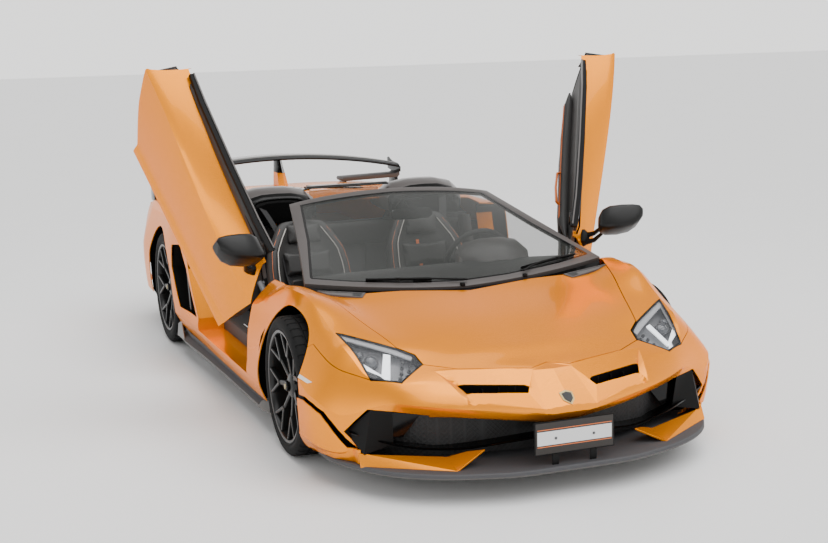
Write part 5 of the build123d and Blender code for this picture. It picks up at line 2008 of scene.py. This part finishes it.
class SUPERCAR_OT_cabin(bpy.types.Operator):
    """Build the cabin lining, dashboard, console and steering wheel"""
    bl_idname = "supercar.cabin"
    bl_label = "Cabin"

    def execute(self, context):
        for build in (dashboard, centre_console, cabin_lining, door_openings, steering_wheel):
            build()
        return {"FINISHED"}


# ---- rear deck, wing and sides -------------------------------------------------------
HUMP_ROWS = [(-444, 240, 700, 985), (-490, 232, 715, 1012), (-560, 226, 733, 1041),
             (-640, 228, 736, 1043), (-700, 230, 738, 1033), (-810, 248, 730, 995), (-933, 270, 714, 947)]


def hoop_covers():
    """Humps over the roll hoops."""
    hump = Piece("hump_fairings")
    rings = []
    for x, y0, y1, top in HUMP_ROWS:
        mid = (y0 + y1) / 2
        rings.append([(x, y0 + 4, 862), (x, y0, top - 74), (x, y0 + 60, top - 22),
                      (x, mid - 90, top - 3), (x, mid, top), (x, mid + 90, top - 3),
                      (x, y1 - 60, top - 26), (x, y1, top - 84), (x, y1 - 4, 862)])
    hump.add(loft(rings[1:]), grey_black())
    hump.add(loft([[(x, y, z + 3) for x, y, z in ring] for ring in (rings[0], rings[1])]),
             gloss_black())
    mouth = [(x, y + (470 - y) * 0.12, z - 20) for x, y, z in rings[0]]
    hump.add(loft([[(x + 5, y, z) for x, y, z in mouth], [(x - 27, y, z) for x, y, z in mouth]]),
             matte_black())
    hump.add(tube(along_curve([(-450, 300, 900), (-452, 330, 970), (-454, 470, 986), (-452, 610, 970),
                               (-450, 640, 900)], 17), 13, 12), gloss_black())
    obj = hump.done("chassis", "roll_hoop_covers", both=True, sharp=40)
    bevel(obj, 0.008, 3, 35)
    shade(obj, 35)


def wind_deflector():
    """Bar between the humps."""
    bar = Piece("wind_deflector")
    bar.add(round_bar([(-590, y, 1024) for y in (-262, -130, 0, 130, 262)], 74, 15, count=12),
            gloss_black())
    # pale strip on top of the bar, painted as its highlight
    bar.add(round_bar([(-578, y, 1033) for y in (-256, -130, 0, 130, 256)], 40, 4, count=8),
            painted_edge_highlight())
    bar.done("chassis")


def wing_blade():
    """Wing with its end plates and feet."""
    wing = Piece("wing_blade")
    rings = []
    for k in range(33):
        y = -900 + 1800 * k / 32
        z = 1071 - 100 * (y / 900) ** 2
        x0, x1 = -2078, -2324
        rings.append([(x0, y, z - 6), (x0 - 6, y, z + 4), (x0 - 30, y, z + 12), (x0 - 90, y, z + 16),
                      (x0 - 170, y, z + 15), (x1, y, z + 14), (x1, y, z + 9), (x0 - 160, y, z - 6),
                      (x0 - 70, y, z - 16), (x0 - 12, y, z - 15)])
    wing.add(loft(rings), gloss_black())
    # pale strip on the wing's crest, painted as its highlight
    wing.add(loft([[(ring[k][0], ring[k][1], ring[k][2] + lift)
                    for k, lift in ((2, 0.4), (3, 0.4), (3, 1.4),
                                    (2, 1.4))] for ring in rings]), painted_edge_highlight())
    for side in (-1, 1):
        wing.add(fan([(x, side * 896, z) for x, z in ((-2068, 960), (-2074, 926), (-2150, 908),
                                                      (-2330, 930), (-2338, 1010), (-2318, 1016),
                                                      (-2250, 992),
                                                      (-2150, 984))], 9, (0, side, 0)), gloss_black())
        wing.add(loft([[(x, side * y, z) for y, z in ((905, 930), (905, 900), (890, 884), (470, 876),
                                                      (462, 888), (470, 903), (880, 912))]
                       for x in (-2096, -2200, -2250)]), screen_trim())
        wing.add(loft([[(x, side * y, z) for y, z in ((482, 878), (496, 878), (496, 840), (482, 840))]
                       for x in (-2110, -2240)]), gloss_black())
        wing.add(loft([[(x, side * y, z) for y, z in ((903, 912), (884, 912), (876, 818), (904, 818))]
                       for x in (-2130, -2260)]), gloss_black())
    obj = wing.done("chassis", "rear_wing", sharp=40)
    bevel(obj, 0.002, 2, 50)
    shade(obj, 40)


def wing_support():
    """Pylon in the middle of the wing."""
    pylon = Piece("wing_support")
    levels = [(868, -2000, -2205, 35), (900, -2010, -2208, 34), (968, -2052, -2214, 28)]
    upper = [(968, -2052, -2214, 28), (1010, -2080, -2217, 24), (1060, -2110, -2219, 22)]
    for rows, material in ((levels, body_paint()), (upper, gloss_black())):
        pylon.add(loft([[(x0, 0, z), (x0 - 40, half, z), (x1, half * 0.8, z), (x1, -half * 0.8, z),
                         (x0 - 40, -half, z)] for z, x0, x1, half in rows]), material)
    pylon.done("chassis", "wing_pylon", sharp=40)


def side_skirts():
    """Carbon skirts with pale strips painted along their edges as highlights."""
    skirt = Piece("skirt_trim")
    rows = [(1068, 930, 962), (980, 962, 984), (700, 968, 986), (200, 972, 992), (-300, 980, 1004),
            (-700, 990, 1022), (-900, 980, 1018), (-994, 940, 980)]
    skirt.add(loft([[(x, y0 - 60, 174), (x, y0, 174), (x, y0 - 8, 140), (x, y1 - 2, 124),
                     (x, y1 - 4, 119), (x, y0 - 60, 119)] for x, y0, y1 in rows]), carbon())
    # pale strips along the skirt's lower edge, painted as highlights
    skirt.add(loft([[(x, y1 - 3, 123), (x, y1, 120), (x, y1 - 2, 112.5), (x, y1 - 60, 112.5),
                     (x, y1 - 60, 118.8), (x, y1 - 5, 118.8)] for x, y0, y1 in rows]), painted_edge_highlight())
    # pale patch at the skirt's front, painted as highlight
    skirt.add(fan([(1066, 925, 172), (960, 975, 160), (930, 990, 122), (1068, 965, 122),
                   (1075, 965, 200)], 6, (0, 1, 0)), painted_edge_highlight())
    skirt.add(fan([(-760, 1010, 124), (-900, 1024, 124), (-985, 1000, 180), (-960, 985, 200)], 6,
                  (0, 1, 0)), grey_black())
    skirt.done("chassis", "side_skirts", both=True, sharp=30)


def tail_trim():
    """Black net and plain plate at the tail."""
    tail = Piece("tail_trim")
    tail.add(fan([(-2334, -640, 560), (-2334, -560, 700), (-2334, 560, 700), (-2334, 640, 560),
                  (-2334, 500, 430), (-2334, -500, 430)], 4, (-1, 0, 0)), mesh_black())
    tail.add(fan([(-2337, -262, 700), (-2337, 262, 700), (-2337, 230, 590), (-2337, -230, 590)], 3,
                 (-1, 0, 0)), satin_black())
    tail.add(block(-2341, -2337, -250, 250, 716, 826, 1.5), satin_black())
    tail.add(block(-2343, -2341, -244, 244, 722, 820, 0.8), plate_face())
    for y in (-89, 89):
        tail.add(disc(6, 3, (-2344, y, 760), "X", 24, soft=0.6), disc_steel())
    tail.done("chassis", sharp=40)


def tail_lights():
    """Tail lights of three forked strokes each."""
    lights = Piece("tail_light_trim")
    red = finish("red lamp", (0.55, 0.01, 0.005), 0.15, 0.0, 1.0, Emission_Color=(1, 0.02, 0.01, 1),
                 Emission_Strength=0.6)
    lights.add(block(-2343, -2331, 380, 820, 652, 688, 4), gloss_black())
    for y in (470, 600, 730):
        for pts in ((0, 0, 50, 12), (0, 0, -46, 12), (0, 0, 0, -14)):
            lights.add(tube([(-2345, y + pts[0], 669 + pts[1]), (-2345, y + pts[2], 669 + pts[3])],
                            3.5, 8), red)
    lights.done("chassis", "tail_lights", both=True)


def exhaust_tips():
    """Four exhaust tips and their surround."""
    pipes = Piece("exhaust_tips")
    for y in (-60, 60):
        for z in (500, 600):
            pipes.add(turned([(48, 62), (48, -60), (46, -65), (42, -65), (40, -60), (40, 50),
                              (0, 52)], 40, "X"), disc_steel(), placed(-2300, y, z))
    pipes.add(block(-2260, -2231, -108, 108, 472, 648, 8), satin_black())
    pipes.done("chassis", "exhaust", sharp=40)


def cover_slats():
    """Slats on the engine cover."""
    slats = Piece("engine_cover_slats")
    for x0, x1, y in ((-1160, -1290, 300), (-1350, -1480, 350), (-1540, -1670, 390)):
        slats.add(fan(on_skin([(x0, 60), (x0 + 40, y - 60), (x0, y), (x1, y + 16), (x1 - 40, y - 40),
                               (x1, 60)], 1), 7, (0, 0, 1)), gloss_black())
    slats.done("engine_cover", both=True)


class SUPERCAR_OT_rear(bpy.types.Operator):
    """Build the humps, the wing, the skirts, the tail and the cover slats"""
    bl_idname = "supercar.rear"
    bl_label = "Rear and sides"

    def execute(self, context):
        for build in (hoop_covers, wind_deflector, wing_blade, wing_support, side_skirts, tail_trim,
                      tail_lights, exhaust_tips, cover_slats):
            build()
        return {"FINISHED"}


# ---- stage ---------------------------------------------------------------------------
CAMERA_PLACE = (7.516, -2.627, 1.979)
CAMERA_YAW, CAMERA_PITCH, CAMERA_ROLL = 159.33, -10.02, -1.41
CAMERA_LENS = 60.43


def area_light(name, place, target, size, power):
    data = bpy.data.lights.new(name, "AREA")
    data.shape = "RECTANGLE"
    data.size, data.size_y = size
    data.energy = power
    lamp = bpy.data.objects.new(name, data)
    bpy.context.scene.collection.objects.link(lamp)
    lamp.location = place
    lamp.rotation_euler = (Vector(target) - Vector(place)).to_track_quat("-Z", "Y").to_euler()
    return lamp


def studio_world():
    """White cove: bright towards the horizon and dimmer overhead."""
    world = bpy.data.worlds.new("studio")
    world.use_nodes = True
    nodes, links = world.node_tree.nodes, world.node_tree.links
    back = nodes["Background"]
    back.inputs["Color"].default_value = (1.0, 0.995, 0.985, 1)
    place, split, fade = (nodes.new("ShaderNode" + kind)
                          for kind in ("TexCoord", "SeparateXYZ", "MapRange"))
    fade.inputs["From Min"].default_value, fade.inputs["From Max"].default_value = 0.10, 0.75
    fade.inputs["To Min"].default_value, fade.inputs["To Max"].default_value = 1.7, 0.4
    links.new(place.outputs["Generated"], split.inputs["Vector"])
    links.new(split.outputs["Z"], fade.inputs["Value"])
    links.new(fade.outputs["Result"], back.inputs["Strength"])
    return world


class SUPERCAR_OT_stage(bpy.types.Operator):
    """Build the studio floor, the lights and the camera"""
    bl_idname = "supercar.stage"
    bl_label = "Stage"

    def execute(self, context):
        bm = bmesh.new()
        bmesh.ops.create_grid(bm, x_segments=1, y_segments=1, size=60)
        floor = to_object("studio_floor", bm, finish("studio_floor", paint().floor, 0.5))
        context.scene.world = studio_world()
        sun = bpy.data.lights.new("soft sky", "SUN")
        sun.energy = 2.8
        sun.angle = math.radians(70)
        lamp = bpy.data.objects.new("soft sky", sun)
        lamp.rotation_euler = (math.radians(-14), math.radians(16), 0)
        context.scene.collection.objects.link(lamp)
        area_light("overhead box", (0.5, 0.0, 5.2), (0.4, 0, 0), (6.5, 4.0), 120)
        area_light("front box", (7.5, -5.0, 3.2), (1.5, -0.5, 0.4), (4.0, 2.5), 60)
        yaw, pitch, roll = (math.radians(a) for a in (CAMERA_YAW, CAMERA_PITCH, CAMERA_ROLL))
        ahead = Vector((math.cos(yaw) * math.cos(pitch), math.sin(yaw) * math.cos(pitch),
                        math.sin(pitch)))
        level = ahead.cross(Vector((0, 0, 1))).normalized()
        upright = level.cross(ahead)
        right = level * math.cos(roll) + upright * math.sin(roll)
        up = upright * math.cos(roll) - level * math.sin(roll)
        data = bpy.data.cameras.new("camera")
        data.sensor_fit = "HORIZONTAL"
        data.sensor_width = 36
        data.lens = CAMERA_LENS
        data.clip_end = 200
        camera = bpy.data.objects.new("camera", data)
        context.scene.collection.objects.link(camera)
        turn = Matrix((right, up, -ahead)).transposed().to_4x4()
        camera.matrix_world = Matrix.Translation(CAMERA_PLACE) @ turn
        context.scene.camera = camera
        return {"FINISHED"}


def dress_frame():
    """Gives each fixed piece that still shows the finish of its record slot."""
    looks = {"body_paint": body_paint, "satin_black": satin_black, "matte_black": matte_black,
             "carbon": carbon, "gloss_black": gloss_black, "clear_glass": clear_glass,
             "clear_lens": lamp_grey,
             "cabin_black": cabin_leather, "seat_leather": cabin_leather, "frame_metal": disc_steel,
             "engine_metal": disc_steel, "exhaust_metal": disc_steel, "caliper_orange": caliper_paint,
             "tyre_rubber": tyre_rubber, "rim_black": rim_black, "red_lens": caliper_paint}
    slots = {entry["node"]: entry["material_slot"] for entry in frame["record"]["subparts"]}
    for name, obj in frame["nodes"].items():
        obj.data.materials.clear()
        obj.data.materials.append(looks[slots[name]]())


class SUPERCAR_OT_frame(bpy.types.Operator):
    """Give the fixed pieces their finishes"""
    bl_idname = "supercar.frame"
    bl_label = "Fixed pieces"

    def execute(self, context):
        dress_frame()
        return {"FINISHED"}


OPERATORS = (SUPERCAR_OT_frame, SUPERCAR_OT_body, SUPERCAR_OT_wheels, SUPERCAR_OT_lamps,
             SUPERCAR_OT_front_trim, SUPERCAR_OT_windscreen, SUPERCAR_OT_doors, SUPERCAR_OT_seats,
             SUPERCAR_OT_cabin, SUPERCAR_OT_rear, SUPERCAR_OT_stage)


class SUPERCAR_PT_panel(bpy.types.Panel):
    """Lists the supercar's sizes, colours and pieces"""
    bl_idname = "SUPERCAR_PT_panel"
    bl_label = "Supercar"
    bl_space_type = "VIEW_3D"
    bl_region_type = "UI"
    bl_category = "Supercar"

    def draw(self, context):
        for group in (context.scene.supercar_paint, context.scene.supercar_sizes):
            for key in group.__annotations__:
                self.layout.prop(group, key)
        for operator in OPERATORS:
            self.layout.operator(operator.bl_idname)


CLASSES = (SupercarPaint, SupercarSizes, *OPERATORS, SUPERCAR_PT_panel)


def register():
    for cls in CLASSES:
        bpy.utils.register_class(cls)
    bpy.types.Scene.supercar_paint = bpy.props.PointerProperty(type=SupercarPaint)
    bpy.types.Scene.supercar_sizes = bpy.props.PointerProperty(type=SupercarSizes)


def unregister():
    del bpy.types.Scene.supercar_paint
    del bpy.types.Scene.supercar_sizes
    for cls in reversed(CLASSES):
        bpy.utils.unregister_class(cls)


def main():
    register()
    for operator in OPERATORS:
        group, name = operator.bl_idname.split(".")
        getattr(getattr(bpy.ops, group), name)()


if __name__ == "__main__":
    main()
